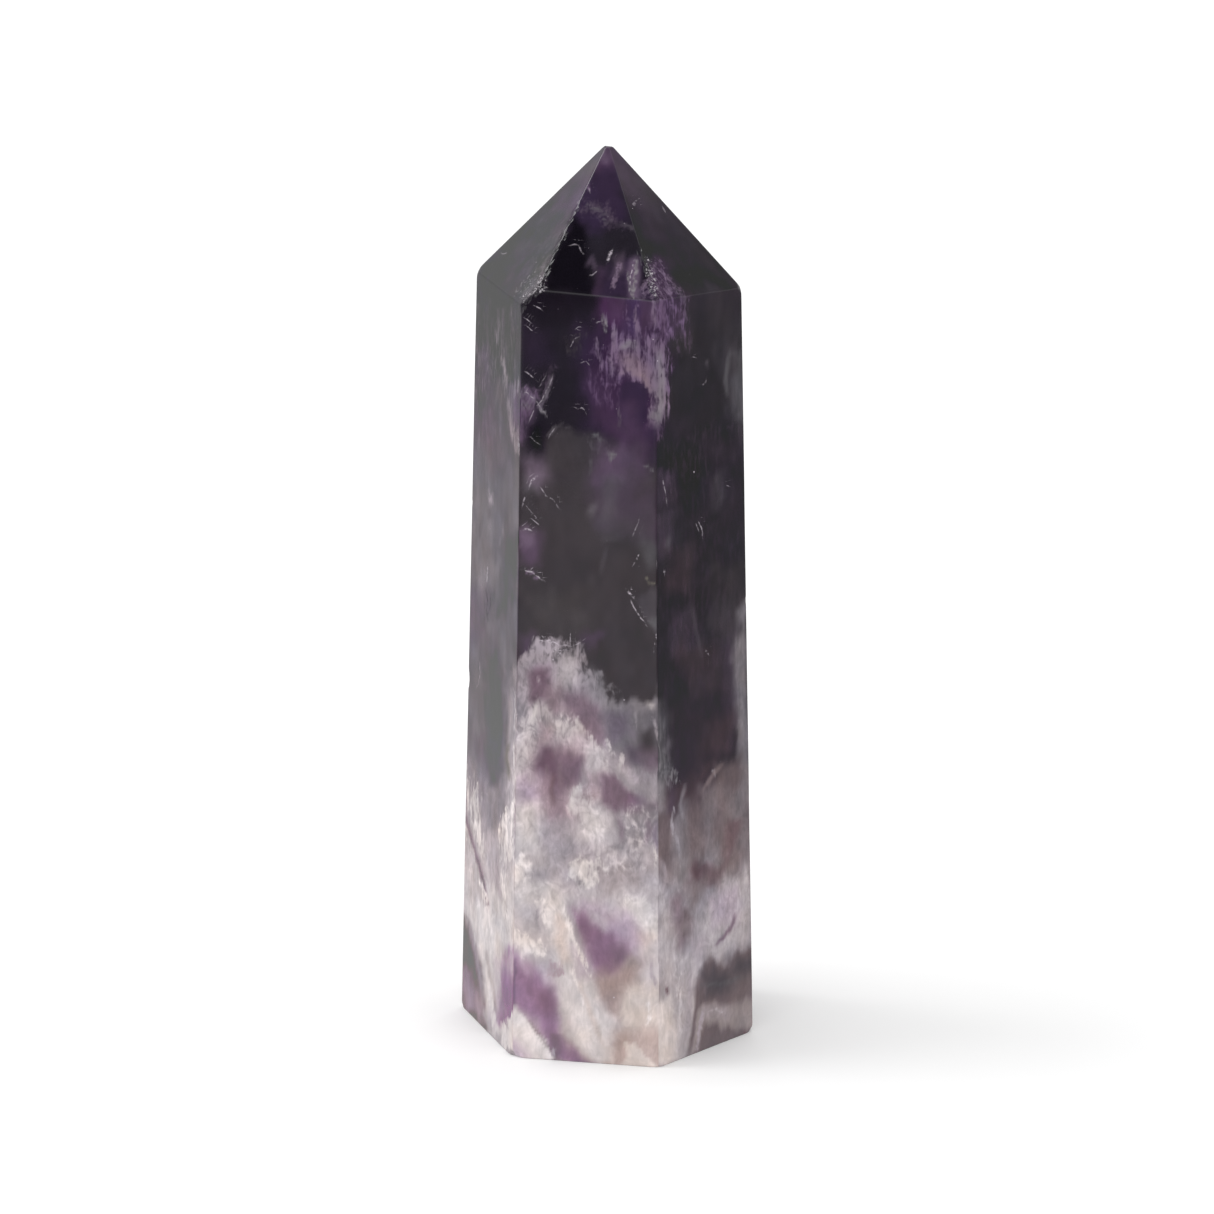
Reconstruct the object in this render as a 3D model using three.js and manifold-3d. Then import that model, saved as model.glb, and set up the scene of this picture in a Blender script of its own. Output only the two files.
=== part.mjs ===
// A chevron amethyst point: one six-sided quartz prism, sawn flat at its foot, polished all over
// and brought to a blunt point at its top. Millimetres, +Z up, the front facet facing -Y.
import * as THREE from 'three';
import { ConvexGeometry } from 'three/addons/geometries/ConvexGeometry.js';
import { mergeVertices } from 'three/addons/utils/BufferGeometryUtils.js';
import Module from 'manifold-3d';

const wasm = await Module();
wasm.setup();

// Driving dimensions of the point.
const height = 85;
const edgeWidth = 0.25;
const tipTilt = 4;

// The side facets, walked round from the front one: the way each one faces seen from above,
// in degrees, its reach from the axis at the foot and how far it leans inwards, in degrees.
const sideFacets = {
  front: { faces: 270.4, reach: 11.95, lean: 1.07 },
  frontRight: { faces: 330.7, reach: 12.22, lean: 1.03 },
  backRight: { faces: 28.7, reach: 12.23, lean: 1.06 },
  back: { faces: 90, reach: 12.08, lean: 1.09 },
  backLeft: { faces: 148.7, reach: 13.1, lean: 1.57 },
  frontLeft: { faces: 211.6, reach: 12.04, lean: 1.16 },
};

// The crown facets above them: the way each one faces, its slope from level, in degrees,
// and the height at which it would meet the axis.
const crownFacets = {
  front: { faces: 272.8, slope: 48.2, meets: 85.3 },
  frontRight: { faces: 334.4, slope: 48.7, meets: 85.2 },
  backRight: { faces: 28, slope: 50, meets: 85.4 },
  back: { faces: 90, slope: 49.5, meets: 85.3 },
  backLeft: { faces: 149.4, slope: 49.2, meets: 85.6 },
  frontLeft: { faces: 213.1, slope: 51, meets: 85.5 },
};

// Corners that handling has rounded: where each one is, and how deep the flat on it goes.
const wornCorners = [
  { between: ['frontLeft', 'front'], at: 'foot', depth: 0.45 },
  { between: ['front', 'frontRight'], at: 'foot', depth: 0.2 },
  { between: ['frontRight', 'backRight'], at: 'foot', depth: 0.3 },
  { between: ['backLeft', 'frontLeft'], at: 'foot', depth: 0.25 },
  { between: ['backRight', 'back'], at: 'foot', depth: 0.3 },
  { between: ['back', 'backLeft'], at: 'foot', depth: 0.35 },
  { between: ['backLeft', 'frontLeft'], at: 'shoulder', depth: 0.2 },
  { between: ['frontRight', 'backRight'], at: 'shoulder', depth: 0.2 },
];

// Shell-shaped chips in the upright edges: the two facets that meet there, the height of the
// chip's middle, its length along the edge and its depth.
const edgeChips = [
  { between: ['backLeft', 'frontLeft'], middle: 33, length: 2.2, depth: 0.22 },
  { between: ['backLeft', 'frontLeft'], middle: 50.3, length: 0.9, depth: 0.12 },
  { between: ['frontRight', 'backRight'], middle: 42.5, length: 0.9, depth: 0.12 },
  { between: ['frontLeft', 'front'], middle: 71.9, length: 0.9, depth: 0.16 },
  { between: ['back', 'backLeft'], middle: 61, length: 1.3, depth: 0.15 },
];

const radians = THREE.MathUtils.degToRad;

// A plane is kept as its outward normal and its distance from the origin along that normal.
function sidePlane({ faces, reach, lean }) {
  const normal = new THREE.Vector3(Math.cos(radians(faces)), Math.sin(radians(faces)), 0);
  normal.multiplyScalar(Math.cos(radians(lean))).setZ(Math.sin(radians(lean)));
  return { normal, distance: reach * Math.cos(radians(lean)) };
}

function crownPlane({ faces, slope, meets }) {
  const outwards = Math.sin(radians(slope));
  const normal = new THREE.Vector3(
    Math.cos(radians(faces)) * outwards,
    Math.sin(radians(faces)) * outwards,
    Math.cos(radians(slope)),
  );
  return { normal, distance: meets * normal.z };
}

function meetingPoint(a, b, c) {
  const rows = new THREE.Matrix3().set(
    ...a.normal.toArray(), ...b.normal.toArray(), ...c.normal.toArray(),
  );
  if (Math.abs(rows.determinant()) < 1e-7) return null;
  return new THREE.Vector3(a.distance, b.distance, c.distance).applyMatrix3(rows.invert());
}

// A plane square to the middle of the given facets, some depth inside the corner where they meet.
function cutAcross(planes, corner, depth) {
  const normal = new THREE.Vector3();
  for (const plane of planes) normal.add(plane.normal);
  normal.normalize();
  return { normal, distance: normal.dot(corner) - depth };
}

// The narrow polished flat along the edge between two facets.
function edgeFlat(a, b) {
  const crossing = new THREE.Vector3().crossVectors(a.normal, b.normal);
  const across = { normal: crossing.normalize(), distance: 0 };
  const onEdge = meetingPoint(a, b, across);
  const depth = (edgeWidth / 2) * Math.tan(a.normal.angleTo(b.normal) / 2);
  return cutAcross([a, b], onEdge, depth);
}

const foot = { normal: new THREE.Vector3(0, 0, -1), distance: 0 };
const tip = {
  normal: new THREE.Vector3(Math.sin(radians(tipTilt)), 0, Math.cos(radians(tipTilt))),
  distance: height * Math.cos(radians(tipTilt)),
};
const names = Object.keys(sideFacets);
const sides = {};
const crown = {};
for (const name of names) {
  sides[name] = sidePlane(sideFacets[name]);
  crown[name] = crownPlane(crownFacets[name]);
}

// Every plane that bounds the point: facets, the flats on their edges, and the worn corners.
function boundingPlanes() {
  const planes = [foot, tip, ...Object.values(sides), ...Object.values(crown)];
  names.forEach((name, i) => {
    const next = names[(i + 1) % names.length];
    planes.push(edgeFlat(sides[name], sides[next]));
    planes.push(edgeFlat(crown[name], crown[next]));
    planes.push(edgeFlat(sides[name], crown[name]));
    planes.push(edgeFlat(sides[name], foot));
  });
  for (const { between: [a, b], at, depth } of wornCorners) {
    const ends = at === 'foot' ? [foot] : [crown[a], crown[b]];
    const corner = meetingPoint(sides[a], sides[b], ends[0]);
    planes.push(cutAcross([sides[a], sides[b], ...ends], corner, depth));
  }
  return planes;
}

// The corners of the solid that lies inside every plane.
function cornersInside(planes) {
  const slack = 1e-6;
  const corners = [];
  for (let i = 0; i < planes.length; i++) {
    for (let j = i + 1; j < planes.length; j++) {
      for (let k = j + 1; k < planes.length; k++) {
        const point = meetingPoint(planes[i], planes[j], planes[k]);
        if (!point) continue;
        if (planes.some((plane) => plane.normal.dot(point) > plane.distance + slack)) continue;
        if (corners.some((corner) => corner.distanceTo(point) < 1e-4)) continue;
        corners.push(point);
      }
    }
  }
  return corners;
}

function toSolid(geometry) {
  const bare = geometry.clone();
  bare.deleteAttribute('normal');
  bare.deleteAttribute('uv');
  const merged = mergeVertices(bare, 1e-5);
  return new wasm.Manifold(new wasm.Mesh({
    numProp: 3,
    vertProperties: new Float32Array(merged.attributes.position.array),
    triVerts: new Uint32Array(merged.index.array),
  }));
}

function toGeometry(solid) {
  const mesh = solid.getMesh();
  const geometry = new THREE.BufferGeometry();
  geometry.setAttribute('position', new THREE.BufferAttribute(mesh.vertProperties, 3));
  geometry.setIndex(new THREE.BufferAttribute(mesh.triVerts, 1));
  return geometry;
}

// The stone that a chip took away: part of a long round lump, sunk into the edge by the depth.
function chipLump({ between: [a, b], middle, length, depth }) {
  const level = { normal: new THREE.Vector3(0, 0, 1), distance: middle };
  const onEdge = meetingPoint(sides[a], sides[b], level);
  const outwards = new THREE.Vector3().addVectors(sides[a].normal, sides[b].normal).normalize();
  const lift = length * 0.35;
  const lump = new THREE.IcosahedronGeometry(1, 2);
  const reach = lift + depth;
  const halfLength = (length / 2) * reach / Math.sqrt(reach * reach - lift * lift);
  lump.scale(reach, reach, halfLength);
  const centre = onEdge.addScaledVector(outwards, lift);
  lump.translate(centre.x, centre.y, centre.z);
  return lump;
}

function amethystPoint() {
  let stone = toSolid(new ConvexGeometry(cornersInside(boundingPlanes())));
  for (const chip of edgeChips) {
    stone = stone.subtract(toSolid(chipLump(chip)));
  }
  const geometry = toGeometry(stone);
  // The origin is the middle of the box round the point, on the surface that it stands on.
  geometry.computeBoundingBox();
  const { min, max } = geometry.boundingBox;
  geometry.translate(-(min.x + max.x) / 2, -(min.y + max.y) / 2, -min.z);
  geometry.computeVertexNormals();

  const material = new THREE.MeshStandardMaterial({
    color: new THREE.Color(0.36, 0.3, 0.37),
    roughness: 0.12,
    metalness: 0,
    flatShading: true,
  });
  const mesh = new THREE.Mesh(geometry, material);
  mesh.name = 'amethyst_point';
  return mesh;
}

const part = new THREE.Group();
part.add(amethystPoint());

export default part;
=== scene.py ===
import math

import bpy
import numpy as np
from mathutils import Matrix, Vector


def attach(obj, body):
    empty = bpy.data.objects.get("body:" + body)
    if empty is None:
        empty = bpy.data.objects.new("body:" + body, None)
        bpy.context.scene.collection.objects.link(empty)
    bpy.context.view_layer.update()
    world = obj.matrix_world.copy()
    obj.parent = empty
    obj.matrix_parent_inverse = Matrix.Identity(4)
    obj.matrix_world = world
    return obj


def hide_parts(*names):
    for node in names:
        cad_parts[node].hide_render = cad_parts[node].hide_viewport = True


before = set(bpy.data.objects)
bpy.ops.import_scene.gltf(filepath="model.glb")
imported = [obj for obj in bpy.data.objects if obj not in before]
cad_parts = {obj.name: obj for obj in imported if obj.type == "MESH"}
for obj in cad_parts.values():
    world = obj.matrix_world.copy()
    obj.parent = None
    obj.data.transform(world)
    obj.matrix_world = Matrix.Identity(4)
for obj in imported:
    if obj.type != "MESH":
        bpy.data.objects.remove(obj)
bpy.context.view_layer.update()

# A polished point of chevron amethyst on a pale table.
# Its shape is worked out in millimetres round the stone's own axis, and made in metres at the end.

mm = 0.001

# The view: a long lens, a little to the right of the front facet and a little above it.
view = {
    "frameSide": 1214,     # pixels each way
    "azimuth": 12.17,      # degrees round to the right of the front facet
    "elevation": 15.88,    # degrees above level
    "distance": 600.0,     # from the stone's axis
    "focal": 6403.0,       # in pixels of the frame
    "across": -0.21,       # where the middle of the view passes the axis, to its right
    "height": 41.03,       # and how high
}

point = {
    "height": 85.0,
    "tipTilt": 4.0,        # degrees that the blunt tip leans to the right
    "edgeRound": 0.036,    # how softly two facets run into each other
    "wave": 0.012,         # how far hand polishing leaves a facet from flat
    "waveSize": 7.0,
    # Side facets: the way each faces in plan, its reach from the axis at the foot, its inward lean.
    "sides": {
        "front": (270.4, 11.95, 1.07),
        "frontRight": (330.7, 12.22, 1.03),
        "backRight": (28.7, 12.23, 1.06),
        "back": (90.0, 12.08, 1.09),
        "backLeft": (148.7, 13.1, 1.57),
        "frontLeft": (211.6, 12.04, 1.16),
    },
    # Crown facets: the way each faces, its slope from level, the height where it meets the axis.
    "crown": {
        "front": (272.8, 48.2, 85.3),
        "frontRight": (334.4, 48.7, 85.2),
        "backRight": (28.0, 50.0, 85.4),
        "back": (90.0, 49.5, 85.3),
        "backLeft": (149.4, 49.2, 85.6),
        "frontLeft": (213.1, 51.0, 85.5),
    },
    # Corners rounded by handling: the two side facets, which end, how deep.
    "wornCorners": [
        ("frontLeft", "front", "foot", 0.45),
        ("front", "frontRight", "foot", 0.2),
        ("frontRight", "backRight", "foot", 0.3),
        ("backLeft", "frontLeft", "foot", 0.25),
        ("backRight", "back", "foot", 0.3),
        ("back", "backLeft", "foot", 0.35),
        ("backLeft", "frontLeft", "shoulder", 0.2),
        ("frontRight", "backRight", "shoulder", 0.2),
    ],
    # Chips in the upright edges: the two facets, height of the middle, length, depth.
    "edgeChips": [
        ("backLeft", "frontLeft", 33.0, 2.2, 0.22),
        ("backLeft", "frontLeft", 50.3, 0.9, 0.12),
        ("frontRight", "backRight", 42.5, 0.9, 0.12),
        ("frontLeft", "front", 71.9, 0.9, 0.16),
        ("back", "backLeft", 61.0, 1.3, 0.15),
    ],
    "seen": ("frontLeft", "front", "frontRight"),
    "seenStep": 0.21,      # mesh spacing across the three facets that face the camera
    "hiddenStep": 0.75,    # and across the others
    "edgeStep": 0.08,
    "growingStep": 0.16,   # how fast the spacing grows away from an edge
    "riseStep": 0.29,      # spacing up the banded lower part
    "plainRiseStep": 0.42, # and up the plainer upper part
    "bandedHeight": 43.0,
    "crownStep": 0.38,
    "footStep": 1.4,
    "footReach": 12.0,
    "crownLength": 17.0,
    "frontSeam": 0.11,     # share of the front facet's width at which thin stripes run up it
    "nearShoulder": 70.0,
    "settlingTurns": 7,
    # Edges nibbled by fine chips: the two planes that meet there, from which height to which, depth
    "nibbled": [
        ("crown", "frontLeft", "crown", "front", 73.6, 80.4, 0.06),
        ("crown", "front", "crown", "frontRight", 73.2, 77.2, 0.09),
        ("crown", "frontLeft", "side", "front", 72.2, 74.6, 0.12),
        ("side", "frontLeft", "side", "front", 71.4, 73.4, 0.07),
    ],
    "nibbleSize": 0.34,
    "nibbleReach": 0.45,
}


def unit(v):
    return v / np.linalg.norm(v)


def smooth(value, start, end):
    share = np.clip((value - start) / (end - start), 0, 1)
    return share * share * (3 - 2 * share)


# The way to something so many degrees round and so many degrees up
def wayTo(azimuth, elevation):
    a, b = math.radians(azimuth), math.radians(elevation)
    return math.cos(a) * math.cos(b), math.sin(a) * math.cos(b), math.sin(b)


def sidePlane(faces, reach, lean):
    return np.array(wayTo(faces, lean)), reach * math.cos(math.radians(lean))


def crownPlane(faces, slope, meets):
    a, b = math.radians(faces), math.radians(slope)
    normal = np.array([math.cos(a) * math.sin(b), math.sin(a) * math.sin(b), math.cos(b)])
    return normal, meets * normal[2]


def levelAt(height):
    return np.array([0.0, 0.0, 1.0]), height


def meeting(*planes):
    return np.linalg.solve(np.array([p[0] for p in planes]), np.array([p[1] for p in planes]))


def cutAcross(planes, corner, depth):
    normal = unit(sum(p[0] for p in planes))
    return normal, normal @ corner - depth


facetNames = list(point["sides"])
sides = {name: sidePlane(*values) for name, values in point["sides"].items()}
crown = {name: crownPlane(*values) for name, values in point["crown"].items()}
foot = (np.array([0.0, 0.0, -1.0]), 0.0)
tipLean = math.radians(point["tipTilt"])
tip = (np.array([math.sin(tipLean), 0.0, math.cos(tipLean)]), point["height"] * math.cos(tipLean))


def wornPlanes():
    for a, b, end, depth in point["wornCorners"]:
        ends = [foot] if end == "foot" else [crown[a], crown[b]]
        corner = meeting(sides[a], sides[b], ends[0])
        yield cutAcross([sides[a], sides[b]] + ends, corner, depth)


stonePlanes = [foot, tip] + list(sides.values()) + list(crown.values()) + list(wornPlanes())
planeNormals = np.array([p[0] for p in stonePlanes])
planeDistances = np.array([p[1] for p in stonePlanes])


scatter = np.array([73856093, 19349663, 83492791])


# Smooth noise from 0 to 1 on a lattice whose cells have the given size
def latticeNoise(points, size, seed):
    scaled = points / np.asarray(size, float)
    cell = np.floor(scaled).astype(np.int64)
    part = scaled - cell
    part = part * part * (3 - 2 * part)
    total = np.zeros(len(points))
    for corner in range(8):
        step = np.array([corner & 1, (corner >> 1) & 1, (corner >> 2) & 1])
        at = (cell + step) * scatter
        mixed = at[:, 0] ^ at[:, 1] ^ at[:, 2] ^ (seed * 265443)
        mixed = (mixed ^ (mixed >> 13)) * 1274126177 & 0xFFFFFFFF
        mixed = (mixed ^ (mixed >> 16)) * 2246822519 & 0xFFFFFFFF
        mixed = mixed ^ (mixed >> 15)
        weight = np.where(step, part, 1 - part).prod(1)
        total += (mixed & 0xFFFF) / 65535 * weight
    return total


# Each chip is where a long round lump has been taken out of the edge: middle, half sizes, reach
def chipLumps():
    for a, b, height, length, depth in point["edgeChips"]:
        onEdge = meeting(sides[a], sides[b], levelAt(height))
        outwards = unit(sides[a][0] + sides[b][0])
        lift = length * 0.35
        reach = lift + depth
        halfLength = length / 2 * reach / math.sqrt(reach ** 2 - lift ** 2)
        yield onEdge + outwards * lift, np.array([reach, reach, halfLength]), reach


lumps = list(chipLumps())
planesOf = {"side": sides, "crown": crown}


# Each nibbled edge: its two ends, its two planes and the depth of its chips
def nibbledEdges():
    for kindA, a, kindB, b, low, high, depth in point["nibbled"]:
        pair = planesOf[kindA][a], planesOf[kindB][b]
        ends = [meeting(*pair, levelAt(height)) for height in (low, high)]
        yield ends, pair, depth


nibbles = list(nibbledEdges())


# How far a place is outside the stone: the facets run softly into each other, and chips bite in
def outside(places):
    gaps = places @ planeNormals.T - planeDistances
    most = gaps.max(1)
    soft = point["edgeRound"]
    value = most + soft * np.log(np.exp((gaps - most[:, None]) / soft).sum(1))
    value += point["wave"] * (latticeNoise(places, point["waveSize"], 5) - 0.5) * 2
    for middle, halves, reach in lumps:
        near = np.abs(places - middle).max(1) < halves.max() * 1.5
        if near.any():
            bite = reach * (1 - np.linalg.norm((places[near] - middle) / halves, axis=1))
            value[near] = np.maximum(value[near], bite)
    size, reach = point["nibbleSize"], point["nibbleReach"]
    for (start, end), pair, depth in nibbles:
        along = end - start
        share = (places - start) @ along / (along @ along)
        inner = np.min([places @ normal - distance for normal, distance in pair], axis=0)
        near = (share > -0.1) & (share < 1.1) & (inner > -reach)
        if near.any():
            spot = places[near]
            grain = latticeNoise(spot, size, 61) + 0.6 * latticeNoise(spot, size * 0.45, 62)
            ends = smooth(share[near], -0.1, 0.1) * smooth(-share[near], -1.1, -0.9)
            rim = smooth(inner[near], -reach, -0.05)
            value[near] += depth * smooth(grain, 0.62, 1.05) * rim * ends
    return value


def slopeOf(places, step=0.004):
    slope = np.empty_like(places)
    for axis in range(3):
        shift = np.zeros(3)
        shift[axis] = step
        slope[:, axis] = (outside(places + shift) - outside(places - shift)) / (2 * step)
    return slope


# Places from 0 to 1 along a length, close together at the stops and further apart between them
def gradedSteps(length, stops, fine, coarse):
    along = np.linspace(0, length, 4001)
    nearest = np.min([np.abs(along - stop) for stop in stops], axis=0)
    limit = coarse(along) if callable(coarse) else coarse
    spacing = np.minimum(limit, fine + point["growingStep"] * nearest)
    count = np.concatenate([[0], np.cumsum(np.diff(along) / spacing[1:])])
    return np.interp(np.linspace(0, count[-1], max(2, round(count[-1])) + 1), count, along) / length


def riseSpacing(heights):
    return np.where(heights < point["bandedHeight"], point["riseStep"], point["plainRiseStep"])


# How far along a line up a side facet the crown cuts it off
def crownReach(start, rise):
    return min((distance - normal @ start) / (normal @ rise) for normal, distance in crown.values())


def stoneMesh():
    count = len(facetNames)
    before = [facetNames[i - 1] for i in range(count)]
    footCorners = [meeting(sides[b], sides[n], foot) for b, n in zip(before, facetNames)]
    level = levelAt(point["nearShoulder"])
    shoulders = [meeting(sides[b], sides[n], level) for b, n in zip(before, facetNames)]
    apex = np.array([0.0, 0.0, point["height"]])
    footRow, shoulderRow = [], []
    for i, name in enumerate(facetNames):
        after = (i + 1) % count
        width = np.linalg.norm(footCorners[after] - footCorners[i])
        stops = [0, width] + ([point["frontSeam"] * width] if name == "front" else [])
        coarse = point["seenStep"] if name in point["seen"] else point["hiddenStep"]
        for t in gradedSteps(width, stops, point["edgeStep"], coarse)[:-1]:
            start = footCorners[i] * (1 - t) + footCorners[after] * t
            rise = shoulders[i] * (1 - t) + shoulders[after] * t - start
            footRow.append(start)
            shoulderRow.append(start + rise * crownReach(start, rise))
    footRow, shoulderRow = np.array(footRow), np.array(shoulderRow)
    shoulderHeight = shoulderRow[:, 2].mean()
    fine, reach, climb = point["edgeStep"], point["footReach"], point["crownLength"]
    rows = [footRow * q for q in gradedSteps(reach, [reach], fine, point["footStep"])[1:-1]]
    for q in gradedSteps(shoulderHeight, [0, shoulderHeight], fine, riseSpacing):
        rows.append(footRow * (1 - q) + shoulderRow * q)
    for q in gradedSteps(climb, [0, climb], fine, point["crownStep"])[1:-1]:
        rows.append(shoulderRow * (1 - q) + apex * q)
    columns = len(footRow)
    places = np.concatenate(rows + [np.zeros((1, 3)), apex[None]])
    for turn in range(point["settlingTurns"]):
        slope = slopeOf(places)
        places = places - slope * (outside(places) / (slope ** 2).sum(1))[:, None]
    pairs = [(k, (k + 1) % columns) for k in range(columns)]
    faces = []
    for low in range(0, (len(rows) - 1) * columns, columns):
        high = low + columns
        faces += [[low + a, low + b, high + b, high + a] for a, b in pairs]
    last, under = (len(rows) - 1) * columns, len(rows) * columns
    faces += [[under, b, a] for a, b in pairs]
    faces += [[last + a, last + b, under + 1] for a, b in pairs]
    print("stone: mesh of", len(places), "places and", len(faces), "faces")
    return places, faces


stonePlaces, stoneFaces = stoneMesh()
stoneNormals = slopeOf(stonePlaces)
stoneNormals /= np.linalg.norm(stoneNormals, axis=1)[:, None]

# The stone's axis stands where the CAD box puts its middle
low, high = stonePlaces.min(0), stonePlaces.max(0)
axisAt = np.array([-(low[0] + high[0]) / 2, -(low[1] + high[1]) / 2, -low[2]])


def cameraAxes():
    a, b = math.radians(view["azimuth"]), math.radians(view["elevation"])
    back = np.array([math.sin(a) * math.cos(b), -math.cos(a) * math.cos(b), math.sin(b)])
    right = np.array([math.cos(a), math.sin(a), 0.0])
    return right, np.cross(back, right), back


def eyePlace():
    right, up, back = cameraAxes()
    return right * view["across"] + np.array([0, 0, view["height"]]) + back * view["distance"]


# Where places show in the frame, in pixels from its top left corner
def pictured(places):
    right, up, back = cameraAxes()
    away = places - eyePlace()
    depth = -(away @ back)
    middle = view["frameSide"] / 2
    across = middle + view["focal"] * (away @ right) / depth
    down = middle - view["focal"] * (away @ up) / depth
    return np.stack([across, down], 1)


# Colours that the stone shows, in sRGB from 0 to 255
tones = {
    "night": (19, 16, 23), "ink": (27, 22, 31), "magenta": (77, 49, 82), "indigo": (68, 51, 84),
    "coal": (38, 34, 42), "soot": (46, 43, 48), "graphite": (49, 46, 51), "shade": (54, 48, 56),
    "smoke": (65, 60, 64), "slate": (80, 75, 81), "pewter": (97, 95, 99),
    "flint": (108, 103, 109), "ash": (121, 116, 121), "silver": (131, 125, 131),
    "mist": (146, 138, 144), "lavender": (163, 152, 159), "pearl": (180, 171, 174),
    "shell": (194, 184, 187), "chalk": (208, 199, 199), "snow": (226, 216, 215),
    "grape": (52, 40, 61), "damson": (58, 40, 66), "berry": (70, 52, 75), "haze": (80, 68, 83),
    "plum": (98, 78, 102), "iris": (112, 91, 120), "lilac": (116, 99, 119),
    "dusk": (118, 98, 112), "mauve": (132, 112, 122), "violet": (134, 106, 128),
    "heather": (152, 122, 149), "orchid": (176, 156, 174), "rose": (168, 148, 155),
    "wine": (101, 79, 93), "umber": (106, 93, 97), "clay": (122, 108, 110), "rust": (101, 80, 86),
    "bark": (72, 60, 66), "moss": (109, 105, 98), "fawn": (146, 134, 134),
    "amber": (160, 140, 137), "tan": (190, 170, 165), "peach": (203, 186, 180),
    "cream": (216, 202, 196),
}

# How each facet's colour runs down the stone: picture row, tone
washes = {
    "crownFront": [
        (146, "haze"), (156, "berry"), (172, "grape"), (190, "grape"), (220, "grape"),
        (236, "coal"), (262, "coal"), (292, "ink")],
    "crownFrontLeft": [(146, "flint"), (200, "pewter"), (292, "pewter")],
    "crownFrontRight": [
        (146, "haze"), (185, "smoke"), (215, "shade"), (245, "soot"), (285, "soot"),
        (300, "shade")],
    "front": [
        (286, "ink"), (340, "coal"), (425, "coal"), (450, "shade"), (485, "smoke"), (660, "smoke"),
        (700, "silver"), (745, "lavender"), (850, "pearl"), (900, "shell"), (1000, "shell"),
        (1066, "tan")],
    "frontLeft": [
        (270, "pewter"), (362, "pewter"), (424, "flint"), (485, "ash"), (547, "silver"),
        (640, "ash"), (740, "silver"), (800, "lavender"), (850, "shell"), (918, "chalk"),
        (985, "shell"), (1060, "pearl")],
    "frontRight": [
        (280, "shade"), (325, "graphite"), (412, "soot"), (468, "coal"), (525, "graphite"),
        (600, "soot"), (700, "graphite"), (765, "shade"), (790, "bark"), (815, "umber"),
        (850, "clay"), (884, "mist"), (945, "mist"), (985, "umber"), (1012, "fawn"),
        (1060, "clay")],
}

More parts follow.
